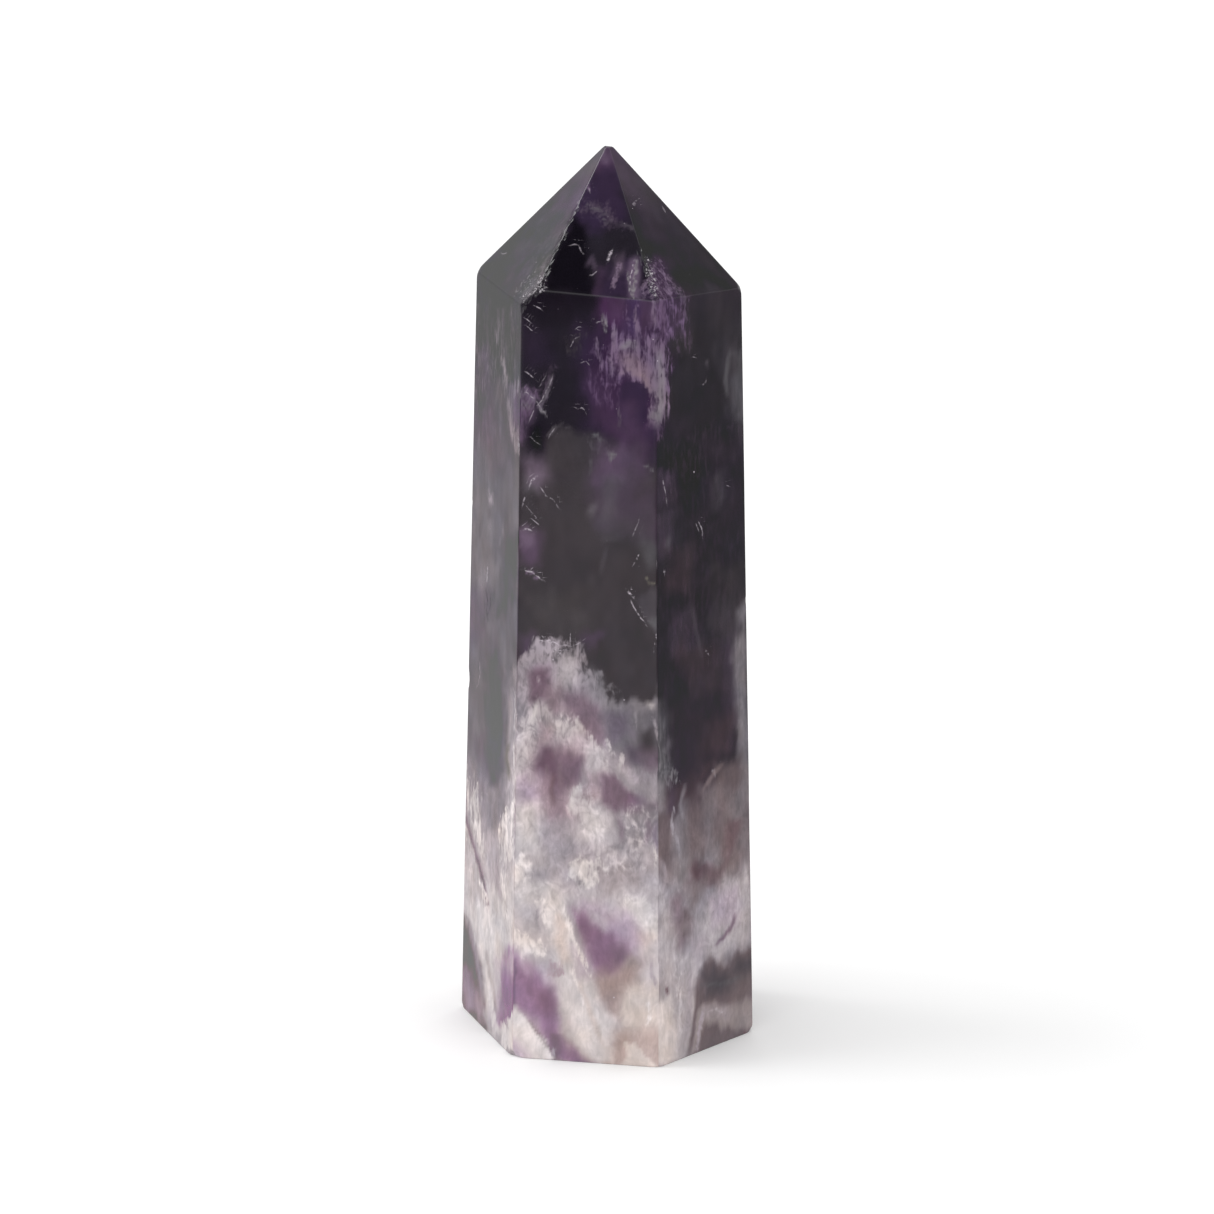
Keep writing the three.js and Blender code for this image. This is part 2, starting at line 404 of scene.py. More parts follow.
# Zones of growth, laid one over another on the facets named. A glow is soft light or shade inside
# the stone, a veil is milk with a torn edge, and a gap is a hole torn in it.
# Each has its kind, tone, strength, softness in pixels, and outline in pixels of the frame.
zones = {
    "crownFront": {
        "tipFrost": ("glow", "plum", 0.3, 5, [
            (600, 148), (616, 147), (620, 156), (610, 163), (601, 158)]),
        "purpleCap": ("glow", "grape", 0.6, 6, [
            (602, 166), (621, 166), (632, 196), (624, 206), (590, 200)]),
        "capVeil": ("veil", "haze", 0.5, 6, [
            (586, 200), (604, 202), (618, 210), (610, 222), (596, 220), (582, 214)]),
        "capVeilTwo": ("veil", "haze", 0.4, 6, [
            (598, 216), (620, 218), (632, 226), (622, 233), (602, 230)]),
        "shadeUnderCap": ("glow", "coal", 0.7, 6, [(622, 190), (634, 200), (641, 226), (628, 222)]),
        "blackFlank": ("glow", "night", 1.0, 4, [
            (574, 218), (585, 226), (588, 245), (590, 262), (590, 292), (542, 293), (548, 272),
            (556, 250)]),
        "greyFlank": ("glow", "coal", 0.8, 6, [(588, 230), (642, 232), (650, 256), (592, 260)]),
        "violetGap": ("glow", "berry", 0.7, 3, [(596, 264), (610, 262), (606, 300), (594, 300)]),
        "violetFall": ("glow", "grape", 0.9, 4, [
            (606, 262), (640, 256), (652, 262), (660, 300), (602, 300)]),
        "fanOne": ("glow", "haze", 0.85, 3, [
            (611, 256), (624, 254), (628, 272), (618, 278), (609, 278)]),
        "fanTwo": ("glow", "lilac", 0.75, 3, [
            (631, 258), (639, 256), (642, 276), (640, 299), (630, 299), (629, 276)]),
        "fallPocket": ("glow", "grape", 0.9, 4, [(606, 279), (624, 278), (627, 296), (605, 296)]),
        "fallDark": ("glow", "ink", 0.8, 3, [(641, 254), (651, 258), (652, 282), (643, 286)]),
        "fallHaze": ("veil", "lilac", 0.3, 4, [(640, 282), (654, 276), (660, 299), (640, 299)]),
    },
    "crownFrontLeft": {
        "ridgeHaze": ("glow", "lilac", 0.6, 7, [
            (598, 160), (592, 190), (576, 214), (564, 206), (580, 180)]),
        "crownReeds": ("veil", "ash", 0.14, 8, [
            (498, 258), (588, 176), (600, 200), (545, 285), (505, 285)]),
        "midHaze": ("glow", "lilac", 0.3, 8, [(560, 196), (574, 200), (562, 240), (546, 236)]),
        "lowHaze": ("glow", "slate", 0.5, 9, [(484, 268), (512, 248), (522, 274), (505, 292)]),
        "mauveHaze": ("glow", "lilac", 0.25, 9, [(496, 262), (528, 250), (530, 282), (508, 290)]),
        "ridgeFrost": ("veil", "ash", 0.3, 5, [
            (562, 238), (567, 241), (548, 284), (526, 290), (536, 268)]),
        "shoulderChips": ("veil", "ash", 0.28, 4, [
            (520, 286), (540, 277), (550, 279), (549, 296), (523, 306)]),
    },
    "crownFrontRight": {
        "capGlow": ("glow", "haze", 0.7, 8, [(616, 160), (640, 186), (636, 202), (624, 190)]),
        "rimGlow": ("glow", "slate", 0.35, 8, [
            (640, 184), (700, 240), (735, 284), (716, 280), (660, 220)]),
        "mauveDrift": ("glow", "haze", 0.35, 9, [
            (640, 210), (668, 230), (690, 262), (672, 262), (648, 236)]),
        "lowViolet": ("glow", "berry", 0.8, 5, [
            (647, 258), (660, 264), (676, 284), (690, 300), (690, 312), (655, 312)]),
        "lowLilac": ("veil", "lilac", 0.3, 5, [
            (646, 256), (662, 266), (678, 284), (688, 302), (652, 312)]),
        "redHaze": ("glow", "slate", 0.4, 6, [(708, 280), (728, 288), (728, 305), (706, 303)]),
        "rustHaze": ("glow", "smoke", 0.5, 6, [(690, 285), (706, 288), (704, 312), (690, 310)]),
    },
    "front frontRight": {
        "violetShade": ("glow", "grape", 0.8, 9, [(578, 330), (602, 330), (606, 440), (580, 430)]),
        "violetCloud": ("glow", "damson", 0.95, 7, [
            (604, 286), (684, 284), (688, 310), (680, 336), (668, 342), (664, 425), (652, 442),
            (620, 440), (600, 418), (590, 385), (594, 350), (604, 326)]),
        "plumCloud": ("glow", "plum", 0.22, 6, [
            (620, 298), (664, 290), (684, 296), (682, 330), (664, 342), (620, 345)]),
        "magentaGlow": ("glow", "magenta", 0.75, 5, [
            (605, 299), (624, 299), (626, 322), (612, 328), (603, 314)]),
        "indigoGlow": ("glow", "indigo", 0.85, 5, [(625, 298), (640, 298), (640, 342), (627, 332)]),
        "lilacGlow": ("glow", "plum", 0.5, 4, [(646, 299), (662, 297), (664, 322), (648, 326)]),
        "cloudStrokes": ("veil", "iris", 0.36, 6, [
            (618, 334), (636, 330), (648, 330), (662, 288), (686, 288), (690, 318), (680, 338),
            (666, 346), (668, 390), (640, 378), (622, 370), (612, 392), (598, 376), (594, 352),
            (606, 344)]),
        "topStrokes": ("veil", "iris", 0.12, 6, [(606, 298), (660, 298), (656, 330), (610, 326)]),
        "lowerStrokes": ("veil", "iris", 0.22, 7, [
            (590, 366), (640, 372), (624, 386), (618, 412), (594, 408), (586, 386)]),
        "paleShelf": ("veil", "lilac", 0.55, 6, [
            (618, 340), (640, 334), (664, 340), (668, 398), (665, 424), (656, 438), (649, 424),
            (650, 396), (642, 382), (630, 375), (619, 366)]),
        "pinkShelf": ("glow", "mauve", 0.6, 5, [
            (616, 352), (634, 350), (650, 366), (650, 384), (636, 376), (618, 372)]),
        "bankGlow": ("glow", "ash", 0.3, 4, [(655, 352), (665, 350), (666, 410), (657, 428)]),
        "darkSlot": ("gap", "berry", 0.8, 2.5, [
            (640, 298), (648, 298), (648, 322), (645, 346), (640, 344)]),
        "darkSlotTwo": ("gap", "berry", 0.6, 2.5, [(612, 296), (624, 296), (622, 318), (611, 316)]),
        "darkWindow": ("gap", "grape", 0.95, 3, [
            (620, 392), (626, 382), (633, 378), (641, 382), (646, 392), (646, 410), (641, 432),
            (624, 436), (617, 412)]),
        "windowVeil": ("glow", "berry", 0.9, 5, [(622, 404), (636, 402), (634, 436), (622, 436)]),
        "sidePurple": ("glow", "berry", 0.6, 8, [(586, 376), (614, 378), (618, 428), (592, 424)]),
        "purpleHaze": ("glow", "berry", 0.9, 7, [
            (620, 426), (656, 430), (655, 456), (640, 468), (622, 462)]),
    },
    "front": {
        "leftShade": ("glow", "coal", 0.8, 9, [(526, 335), (556, 330), (560, 372), (524, 376)]),
        "leftBlue": ("glow", "grape", 0.45, 9, [(520, 326), (548, 330), (546, 366), (520, 366)]),
        "middleDust": ("veil", "smoke", 0.4, 4, [
            (566, 340), (576, 333), (584, 336), (578, 352), (566, 356)]),
        "leftHaze": ("veil", "plum", 0.7, 5, [
            (516, 386), (528, 385), (538, 399), (533, 414), (526, 428), (523, 444), (515, 446)]),
        "crossHaze": ("veil", "haze", 0.6, 4, [
            (548, 368), (556, 366), (552, 386), (542, 408), (536, 404)]),
        "leftHazeTwo": ("glow", "plum", 0.6, 6, [(520, 400), (542, 404), (536, 430), (520, 440)]),
        "leftHazeTop": ("glow", "lilac", 0.6, 4, [(517, 387), (527, 389), (527, 403), (517, 403)]),
        "curlPocket": ("glow", "ink", 0.85, 4, [(527, 428), (544, 420), (546, 450), (529, 454)]),
        "greyWedge": ("glow", "smoke", 0.85, 4, [
            (546, 440), (560, 423), (576, 431), (590, 434), (604, 444), (614, 456), (612, 474),
            (545, 474)]),
        "wedgeDust": ("veil", "slate", 0.4, 4, [
            (580, 432), (594, 434), (610, 446), (604, 456), (588, 446)]),
        "blueShade": ("glow", "grape", 0.7, 5, [(648, 434), (658, 432), (658, 462), (648, 460)]),
        "mauveColumn": ("glow", "haze", 0.75, 8, [
            (596, 446), (642, 450), (641, 496), (628, 530), (602, 528), (592, 500)]),
        "violetColumn": ("glow", "plum", 0.6, 6, [(600, 448), (620, 448), (620, 474), (598, 482)]),
        "greyColumn": ("glow", "pewter", 0.4, 5, [(605, 476), (616, 476), (617, 514), (604, 516)]),
        "pinkDrift": ("glow", "haze", 0.7, 8, [(618, 494), (656, 490), (656, 540), (622, 528)]),
        "starGlow": ("glow", "flint", 0.6, 4, [(522, 474), (541, 474), (539, 494), (524, 494)]),
        "leftLavender": ("glow", "lilac", 0.6, 7, [
            (520, 458), (544, 456), (549, 478), (540, 492), (526, 488)]),
        "lowLavender": ("glow", "plum", 0.7, 6, [(518, 534), (538, 536), (543, 562), (519, 568)]),
        "arcFill": ("glow", "lilac", 0.7, 3, [
            (519, 532), (526, 528), (533, 533), (534, 544), (520, 548)]),
        "greyDrift": ("glow", "slate", 0.45, 6, [(600, 520), (642, 516), (644, 536), (600, 538)]),
        "greenPane": ("glow", "pewter", 0.55, 5, [(643, 541), (659, 545), (659, 568), (645, 570)]),
        "greenSmoke": ("glow", "moss", 0.14, 14, [(525, 590), (590, 584), (590, 640), (525, 640)]),
        "paleTriangle": ("glow", "slate", 0.95, 2.5, [
            (634, 600), (657, 586), (659, 634), (651, 631), (643, 620)]),
        "triangleFoot": ("glow", "pewter", 0.8, 2.5, [
            (643, 620), (659, 618), (658, 631), (650, 629)]),
        "purpleEdge": ("glow", "plum", 0.7, 5, [(519, 634), (534, 634), (532, 656), (519, 662)]),
        "purpleRise": ("glow", "haze", 0.8, 6, [(582, 636), (604, 634), (598, 650), (584, 654)]),
        "frost": ("veil", "lavender", 0.8, 6, [
            (517, 662), (520, 648), (529, 641), (538, 636), (548, 638), (560, 641), (572, 641),
            (581, 643), (584, 652), (586, 668), (597, 690), (603, 706), (560, 716), (516, 712)]),
        "frostDrift": ("veil", "silver", 0.4, 6, [
            (580, 668), (596, 672), (612, 684), (606, 716), (584, 706)]),
        "frostNet": ("gap", "soot", 0.45, 3, [(551, 648), (574, 648), (576, 659), (552, 658)]),
        "frostShadow": ("glow", "silver", 0.5, 4, [(525, 668), (533, 662), (536, 676), (529, 682)]),
        "frostSpill": ("glow", "orchid", 0.5, 5, [(534, 668), (548, 666), (550, 682), (538, 684)]),
        "edgeFrost": ("glow", "lavender", 0.95, 5, [
            (508, 676), (526, 674), (526, 702), (508, 706)]),
        "frostGlow": ("glow", "pearl", 0.7, 6, [(559, 656), (577, 654), (577, 684), (560, 684)]),
        "duskPatch": ("glow", "wine", 0.8, 5, [
            (530, 676), (545, 672), (549, 694), (540, 708), (528, 700)]),
        "duskSlope": ("glow", "mauve", 0.75, 6, [(543, 690), (562, 692), (566, 712), (548, 714)]),
        "greyShoulder": ("glow", "dusk", 0.8, 6, [
            (564, 696), (584, 688), (600, 704), (608, 740), (592, 740), (572, 720)]),
        "shoulderMist": ("veil", "silver", 0.3, 6, [
            (583, 666), (598, 672), (604, 700), (590, 704), (580, 690)]),
        "clearPane": ("gap", "smoke", 1.0, 4, [
            (597, 640), (660, 636), (660, 700), (645, 702), (630, 702), (620, 706), (607, 702),
            (604, 690), (599, 674), (594, 660)]),
        "paneSteps": ("veil", "ash", 0.28, 5, [
            (586, 668), (600, 672), (616, 686), (622, 704), (606, 712), (594, 694)]),
        "greyMottle": ("glow", "flint", 0.95, 6, [
            (606, 710), (626, 707), (658, 706), (668, 740), (672, 772), (640, 770), (612, 748)]),
        "mottleViolet": ("glow", "lilac", 0.5, 6, [(608, 716), (632, 714), (634, 736), (614, 742)]),
        "edgeDusk": ("glow", "slate", 0.6, 6, [(646, 708), (660, 706), (660, 768), (648, 768)]),
        "darkHole": ("glow", "smoke", 0.95, 4, [(640, 730), (652, 729), (654, 750), (640, 754)]),
        "holeSide": ("glow", "haze", 0.6, 5, [(624, 746), (642, 744), (640, 762), (626, 764)]),
        "holeTail": ("glow", "dusk", 0.7, 6, [(640, 752), (664, 748), (668, 772), (642, 776)]),
        "leftLimb": ("veil", "shell", 0.75, 6, [
            (537, 702), (545, 712), (540, 730), (536, 760), (532, 790), (514, 790), (513, 745),
            (522, 722)]),
        "rightLimb": ("veil", "shell", 0.85, 5, [
            (537, 702), (547, 712), (556, 720), (567, 718), (576, 722), (582, 734), (588, 741),
            (597, 748), (604, 760), (604, 776), (594, 770), (583, 756), (566, 745), (550, 736),
            (542, 722)]),
        "limbShade": ("glow", "shell", 0.5, 6, [(548, 716), (562, 722), (560, 736), (548, 730)]),
        "roseTop": ("glow", "rose", 0.9, 4, [(539, 722), (552, 724), (555, 742), (539, 744)]),
        "windowHalo": ("glow", "rose", 0.8, 9, [
            (536, 738), (584, 740), (594, 770), (584, 804), (566, 826), (544, 820), (528, 790)]),
        "violetWindow": ("glow", "dusk", 0.95, 5, [
            (541, 744), (556, 746), (572, 752), (584, 760), (584, 776), (567, 788), (564, 816),
            (553, 820), (545, 796), (536, 770)]),
        "windowDeep": ("glow", "wine", 0.8, 5, [
            (541, 748), (556, 748), (560, 768), (552, 780), (540, 770)]),
        "windowDeepTwo": ("glow", "dusk", 0.6, 5, [(566, 756), (581, 758), (580, 770), (568, 776)]),
        "windowLow": ("glow", "rose", 0.6, 5, [(546, 794), (568, 792), (562, 820), (548, 818)]),
        "windowLight": ("glow", "rose", 0.5, 4, [(541, 780), (550, 776), (552, 806), (543, 806)]),
        "lavenderLow": ("glow", "orchid", 0.75, 8, [
            (517, 786), (540, 778), (543, 806), (517, 808)]),
        "whiteShore": ("glow", "shell", 0.9, 5, [
            (590, 748), (603, 752), (602, 776), (592, 784), (582, 786)]),
        "roseShore": ("glow", "rose", 0.8, 4, [(586, 772), (601, 774), (602, 800), (588, 806)]),
        "violetPane": ("glow", "dusk", 0.95, 4, [
            (602, 778), (614, 776), (628, 790), (642, 799), (662, 801), (662, 812), (612, 813),
            (600, 804)]),
        "paneShore": ("glow", "mist", 0.7, 6, [(634, 772), (660, 770), (662, 798), (644, 796)]),
        "paneDeep": ("glow", "violet", 0.6, 4, [(628, 796), (642, 800), (640, 812), (624, 810)]),
        "paneFringe": ("glow", "silver", 0.6, 6, [(640, 798), (664, 796), (664, 830), (640, 826)]),
        "whiteBank": ("glow", "chalk", 0.85, 7, [(511, 808), (538, 804), (540, 850), (511, 852)]),
        "greyBank": ("glow", "lavender", 0.7, 6, [(542, 818), (566, 820), (568, 846), (542, 848)]),
        "whiteKnot": ("veil", "shell", 0.8, 5, [
            (571, 790), (582, 786), (590, 800), (600, 814), (606, 850), (584, 852), (580, 822),
            (566, 806)]),
        "cottonRight": ("glow", "pearl", 0.6, 6, [(612, 822), (632, 826), (630, 848), (610, 846)]),
        "mistPatch": ("glow", "mist", 0.55, 5, [(570, 838), (592, 840), (592, 856), (572, 856)]),
        "shoreFawn": ("glow", "fawn", 0.5, 6, [(622, 976), (638, 978), (640, 1006), (624, 1008)]),
        "cottonColumn": ("glow", "chalk", 0.75, 6, [
            (584, 808), (603, 812), (606, 838), (586, 836)]),
        "mottledBank": ("glow", "mist", 0.8, 7, [(616, 814), (662, 812), (662, 852), (620, 852)]),
        "bankStrokes": ("veil", "shell", 0.25, 5, [(626, 806), (658, 808), (660, 850), (628, 850)]),
        "greyShelf": ("glow", "lavender", 0.5, 9, [(545, 850), (662, 846), (662, 888), (545, 894)]),
        "shelfBeige": ("glow", "fawn", 0.45, 8, [(604, 868), (645, 866), (644, 890), (606, 892)]),
        "shelfLight": ("veil", "chalk", 0.7, 4, [
            (570, 868), (583, 858), (592, 868), (598, 886), (586, 890), (572, 882)]),
        "shelfDrift": ("veil", "shell", 0.4, 5, [(600, 842), (640, 842), (650, 868), (606, 872)]),
        "creamShoulder": ("veil", "snow", 0.8, 5, [
            (511, 861), (520, 854), (530, 862), (534, 876), (522, 884), (511, 886)]),
        "shelfShade": ("glow", "mist", 0.7, 5, [(528, 873), (546, 870), (546, 884), (530, 886)]),
        "whiteStep": ("glow", "chalk", 0.8, 7, [(513, 884), (556, 884), (562, 904), (514, 906)]),
        "stepShade": ("glow", "pearl", 0.8, 7, [(518, 908), (540, 904), (542, 934), (522, 934)]),
        "stepSnow": ("veil", "snow", 0.75, 4, [
            (538, 902), (552, 900), (566, 925), (575, 952), (566, 960), (553, 935), (541, 916)]),
        "snowArc": ("veil", "snow", 0.85, 4, [
            (511, 922), (522, 930), (536, 938), (548, 950), (544, 960), (526, 956), (512, 950)]),
        "snowCloud": ("veil", "chalk", 0.95, 4, [
            (623, 904), (628, 897), (640, 896), (648, 902), (650, 912), (660, 916), (661, 930),
            (655, 940), (644, 936), (636, 928), (626, 922)]),
        "paleHalo": ("glow", "orchid", 0.85, 8, [
            (584, 902), (606, 902), (630, 920), (648, 940), (640, 960), (618, 944), (598, 924)]),
        "roseHalo": ("glow", "peach", 0.6, 5, [(640, 934), (656, 936), (652, 958), (642, 956)]),
        "poolTwo": ("glow", "violet", 1.0, 6, [
            (573, 912), (583, 915), (596, 924), (612, 934), (624, 944), (632, 956), (628, 972),
            (606, 982), (594, 968), (584, 942), (576, 924)]),
        "poolTwoDeep": ("glow", "dusk", 0.8, 4, [
            (612, 946), (624, 946), (628, 958), (618, 966), (610, 958)]),
        "poolTwoCore": ("glow", "violet", 0.8, 6, [
            (584, 930), (604, 936), (612, 956), (600, 972), (590, 956)]),
        "amberShore": ("glow", "amber", 0.95, 6, [
            (590, 976), (614, 970), (632, 958), (642, 962), (636, 984), (622, 998), (620, 1020),
            (604, 1022), (594, 996)]),
        "amberStep": ("glow", "fawn", 0.6, 4, [(626, 956), (642, 960), (636, 970), (624, 970)]),
        "creamShore": ("glow", "cream", 0.9, 8, [
            (626, 986), (664, 980), (666, 1030), (628, 1032), (620, 1010)]),
        "shoreGrey": ("glow", "shell", 0.6, 6, [(640, 950), (662, 944), (662, 990), (642, 990)]),
        "poolOneHalo": ("glow", "orchid", 0.7, 8, [
            (512, 950), (530, 956), (546, 968), (558, 990), (556, 1002), (530, 990), (512, 980)]),
        "creamLean": ("glow", "chalk", 0.9, 6, [
            (548, 898), (560, 900), (572, 928), (580, 956), (592, 982), (604, 1012), (614, 1040),
            (612, 1062), (600, 1061), (576, 1040), (562, 1008), (556, 975), (552, 940)]),
        "peachRib": ("glow", "peach", 0.85, 4, [(556, 918), (566, 922), (568, 960), (558, 966)]),
        "roseSpot": ("veil", "rose", 0.6, 3, [(547, 962), (560, 960), (562, 976), (548, 979)]),
        "poolOne": ("glow", "heather", 1.0, 5, [
            (508, 958), (516, 955), (530, 966), (540, 980), (548, 988), (554, 998), (557, 1014),
            (557, 1034), (563, 1044), (576, 1056), (588, 1066), (560, 1066), (553, 1060),
            (546, 1040), (532, 1024), (524, 1012), (516, 1008), (505, 1010)]),
        "poolOneDeep": ("glow", "violet", 0.8, 6, [
            (532, 990), (549, 992), (557, 1005), (555, 1026), (550, 1036), (540, 1020)]),
        "poolTail": ("glow", "violet", 0.7, 5, [
            (556, 1036), (567, 1046), (578, 1060), (560, 1064)]),
        "leanFoot": ("glow", "snow", 0.8, 5, [
            (566, 1004), (584, 1006), (615, 1022), (617, 1062), (597, 1062), (578, 1044)]),
        "leanShade": ("glow", "orchid", 0.5, 5, [(572, 946), (586, 948), (592, 976), (578, 978)]),
        "tailBrown": ("glow", "umber", 0.6, 3, [
            (552, 1036), (560, 1038), (562, 1062), (553, 1062)]),
        "snowTent": ("gap", "snow", 1.0, 2, [
            (503, 1014), (510, 1009), (518, 1008), (526, 1020), (536, 1031), (546, 1044),
            (554, 1062), (525, 1064), (508, 1060), (500, 1040)]),
        "tentShade": ("glow", "orchid", 0.75, 6, [
            (506, 1036), (518, 1038), (524, 1054), (508, 1056)]),
        "tanFoot": ("glow", "tan", 0.9, 6, [(614, 1034), (668, 1030), (668, 1068), (614, 1068)]),
        "footBrown": ("glow", "amber", 0.5, 5, [
            (612, 1040), (622, 1042), (622, 1066), (612, 1066)]),
        "footWedge": ("gap", "cream", 1.0, 1.5, [
            (624, 1041), (630, 1042), (644, 1052), (662, 1064), (645, 1070), (621, 1070)]),
    },
    "frontLeft": {
        "leftReeds": ("veil", "ash", 0.2, 8, [(466, 300), (520, 300), (520, 560), (466, 560)]),
        "leftReedsLow": ("veil", "ash", 0.25, 8, [(460, 540), (500, 540), (486, 700), (460, 700)]),
        "topShade": ("glow", "slate", 0.35, 10, [(478, 280), (512, 300), (512, 350), (478, 340)]),
        "rimMauve": ("glow", "lilac", 0.35, 8, [(476, 350), (492, 350), (492, 440), (478, 450)]),
        "topGleam": ("veil", "ash", 0.5, 4, [(493, 318), (500, 322), (499, 345), (495, 342)]),
        "lavenderFill": ("glow", "lilac", 0.7, 5, [(510, 388), (524, 384), (524, 440), (514, 440)]),
        "strandOne": ("veil", "mist", 0.6, 3.5, [
            (500, 358), (506, 372), (511, 392), (512, 420), (518, 456), (513, 452), (508, 425),
            (506, 395)]),
        "strandTwo": ("veil", "mist", 0.75, 3.5, [(511, 384), (520, 380), (524, 392), (514, 400)]),
        "strandThree": ("veil", "lavender", 0.7, 3, [
            (512, 425), (518, 430), (522, 456), (516, 458)]),
        "mauveDrift": ("glow", "dusk", 0.3, 9, [(488, 410), (510, 425), (508, 480), (486, 470)]),
        "lightLeft": ("veil", "silver", 0.15, 7, [
            (474, 450), (492, 460), (494, 540), (486, 566), (470, 560)]),
        "smokePane": ("glow", "pewter", 0.7, 7, [
            (502, 545), (518, 535), (519, 600), (497, 614), (496, 590)]),
        "innerShade": ("glow", "flint", 0.65, 7, [(495, 384), (511, 384), (513, 560), (495, 560)]),
        "lowMauve": ("glow", "lilac", 0.4, 9, [(464, 590), (484, 590), (484, 660), (464, 660)]),
        "needleGlow": ("glow", "mist", 0.7, 4, [(484, 560), (490, 560), (490, 586), (485, 586)]),
        "edgeSpill": ("glow", "shell", 0.85, 6, [
            (512, 676), (524, 662), (524, 760), (516, 800), (512, 850), (500, 850), (505, 800),
            (510, 742)]),
        "spillMist": ("glow", "lavender", 0.6, 5, [(506, 700), (513, 690), (512, 760), (505, 780)]),
        "edgeFrost": ("glow", "lavender", 0.6, 5, [(508, 674), (520, 670), (520, 704), (508, 706)]),
        "darkTongue": ("glow", "flint", 0.95, 6, [
            (481, 650), (503, 660), (505, 740), (503, 770), (497, 788), (487, 788), (482, 760)]),
        "tongueViolet": ("glow", "lilac", 0.4, 6, [(484, 740), (496, 744), (496, 776), (486, 780)]),
        "outerTongue": ("glow", "ash", 0.7, 7, [(464, 640), (482, 640), (480, 720), (466, 715)]),
        "outerMauve": ("glow", "dusk", 0.3, 6, [(474, 734), (486, 732), (486, 764), (478, 762)]),
        "tongueGlow": ("glow", "mist", 0.9, 4, [
            (485, 794), (498, 790), (506, 792), (505, 812), (496, 828), (486, 830)]),
        "outerPale": ("veil", "chalk", 0.7, 6, [
            (464, 765), (472, 775), (480, 815), (484, 850), (478, 862), (464, 830)]),
        "spillEdge": ("veil", "snow", 0.7, 3, [
            (497, 832), (506, 812), (514, 800), (514, 860), (498, 866)]),
        "leanBlend": ("glow", "shell", 0.6, 8, [(464, 850), (484, 850), (494, 910), (466, 906)]),
        "lowMist": ("glow", "lavender", 0.5, 7, [(486, 832), (498, 834), (500, 872), (490, 880)]),
        "greenish": ("glow", "chalk", 0.8, 8, [(486, 900), (511, 890), (511, 950), (490, 950)]),
        "slateFang": ("glow", "clay", 1.0, 3, [
            (458, 905), (466, 915), (471, 932), (476, 950), (481, 975), (485, 1000), (491, 1032),
            (480, 1030), (460, 1012)]),
        "fangViolet": ("glow", "dusk", 0.6, 4, [(464, 940), (474, 950), (478, 978), (468, 984)]),
        "fangPale": ("glow", "orchid", 0.75, 5, [(462, 968), (472, 968), (480, 1012), (462, 1012)]),
        "fangGlow": ("glow", "rose", 0.6, 5, [(474, 1000), (484, 994), (490, 1026), (478, 1022)]),
        "creamStripe": ("glow", "snow", 0.95, 4, [
            (478, 905), (490, 900), (497, 960), (502, 1034), (492, 1032), (486, 980), (479, 945)]),
        "lavenderPane": ("glow", "orchid", 0.7, 5, [
            (497, 960), (508, 950), (513, 1010), (500, 1020)]),
        "poolEdge": ("glow", "heather", 0.95, 5, [
            (503, 958), (512, 950), (518, 1020), (498, 1024)]),
        "tentEdge": ("veil", "snow", 0.9, 3, [
            (502, 1028), (508, 1018), (520, 1010), (520, 1056), (500, 1044)]),
    },
    "frontRight": {
        "rightReeds": ("veil", "shade", 0.25, 8, [(660, 440), (745, 400), (750, 760), (660, 760)]),
        "lowCloud": ("veil", "haze", 0.45, 6, [(672, 334), (690, 330), (692, 348), (676, 356)]),
        "topStreak": ("veil", "slate", 0.5, 4, [(680, 284), (688, 286), (692, 316), (684, 318)]),
        "redDrift": ("glow", "smoke", 0.5, 9, [(712, 286), (728, 290), (728, 330), (714, 330)]),
        "rimPane": ("glow", "slate", 0.6, 8, [
            (724, 345), (745, 322), (748, 450), (738, 430), (728, 400)]),
        "rimLight": ("glow", "pewter", 0.5, 4, [(733, 350), (746, 345), (746, 420), (736, 420)]),
        "blueSmoke": ("glow", "shade", 0.7, 9, [(700, 440), (744, 440), (748, 520), (712, 510)]),
        "smokePatch": ("glow", "shade", 0.7, 6, [(666, 418), (690, 416), (690, 440), (668, 444)]),
        "greyReed": ("glow", "slate", 0.6, 4, [(714, 478), (722, 470), (724, 496), (716, 510)]),
        "edgeViolet": ("glow", "haze", 0.5, 5, [(656, 470), (672, 474), (670, 500), (656, 504)]),
        "edgeMauve": ("glow", "haze", 0.5, 6, [(656, 514), (674, 512), (670, 556), (656, 562)]),
        "violetDusk": ("glow", "bark", 0.6, 8, [(666, 545), (694, 548), (692, 590), (668, 592)]),
        "rimHaze": ("glow", "haze", 0.5, 8, [(718, 616), (740, 610), (738, 750), (722, 750)]),
        "sideFade": ("gap", "smoke", 0.35, 6, [(666, 286), (692, 284), (694, 350), (670, 350)]),
        "rimViolet": ("glow", "smoke", 0.8, 9, [(716, 566), (744, 560), (746, 620), (720, 626)]),
        "trapeze": ("glow", "haze", 0.4, 5, [
            (674, 612), (692, 608), (698, 630), (702, 652), (672, 656)]),
        "trapezeDark": ("glow", "bark", 0.5, 6, [(676, 650), (720, 640), (726, 690), (690, 700)]),
        "mossPane": ("glow", "smoke", 0.6, 5, [(714, 622), (734, 622), (734, 640), (714, 642)]),
        "rimGrey": ("glow", "ash", 0.9, 4, [
            (738, 612), (748, 600), (754, 800), (738, 792), (737, 750), (738, 700), (736, 660)]),
        "darkBay": ("glow", "shade", 0.5, 8, [
            (670, 700), (730, 690), (734, 740), (700, 764), (676, 764)]),
        "rustBay": ("glow", "bark", 0.75, 8, [(696, 716), (734, 716), (732, 750), (704, 762)]),
        "edgeGrey": ("glow", "pewter", 0.85, 6, [
            (652, 696), (662, 704), (666, 738), (671, 768), (664, 800), (652, 806)]),
        "edgeMist": ("glow", "mist", 0.7, 4, [(652, 782), (664, 780), (666, 812), (652, 816)]),
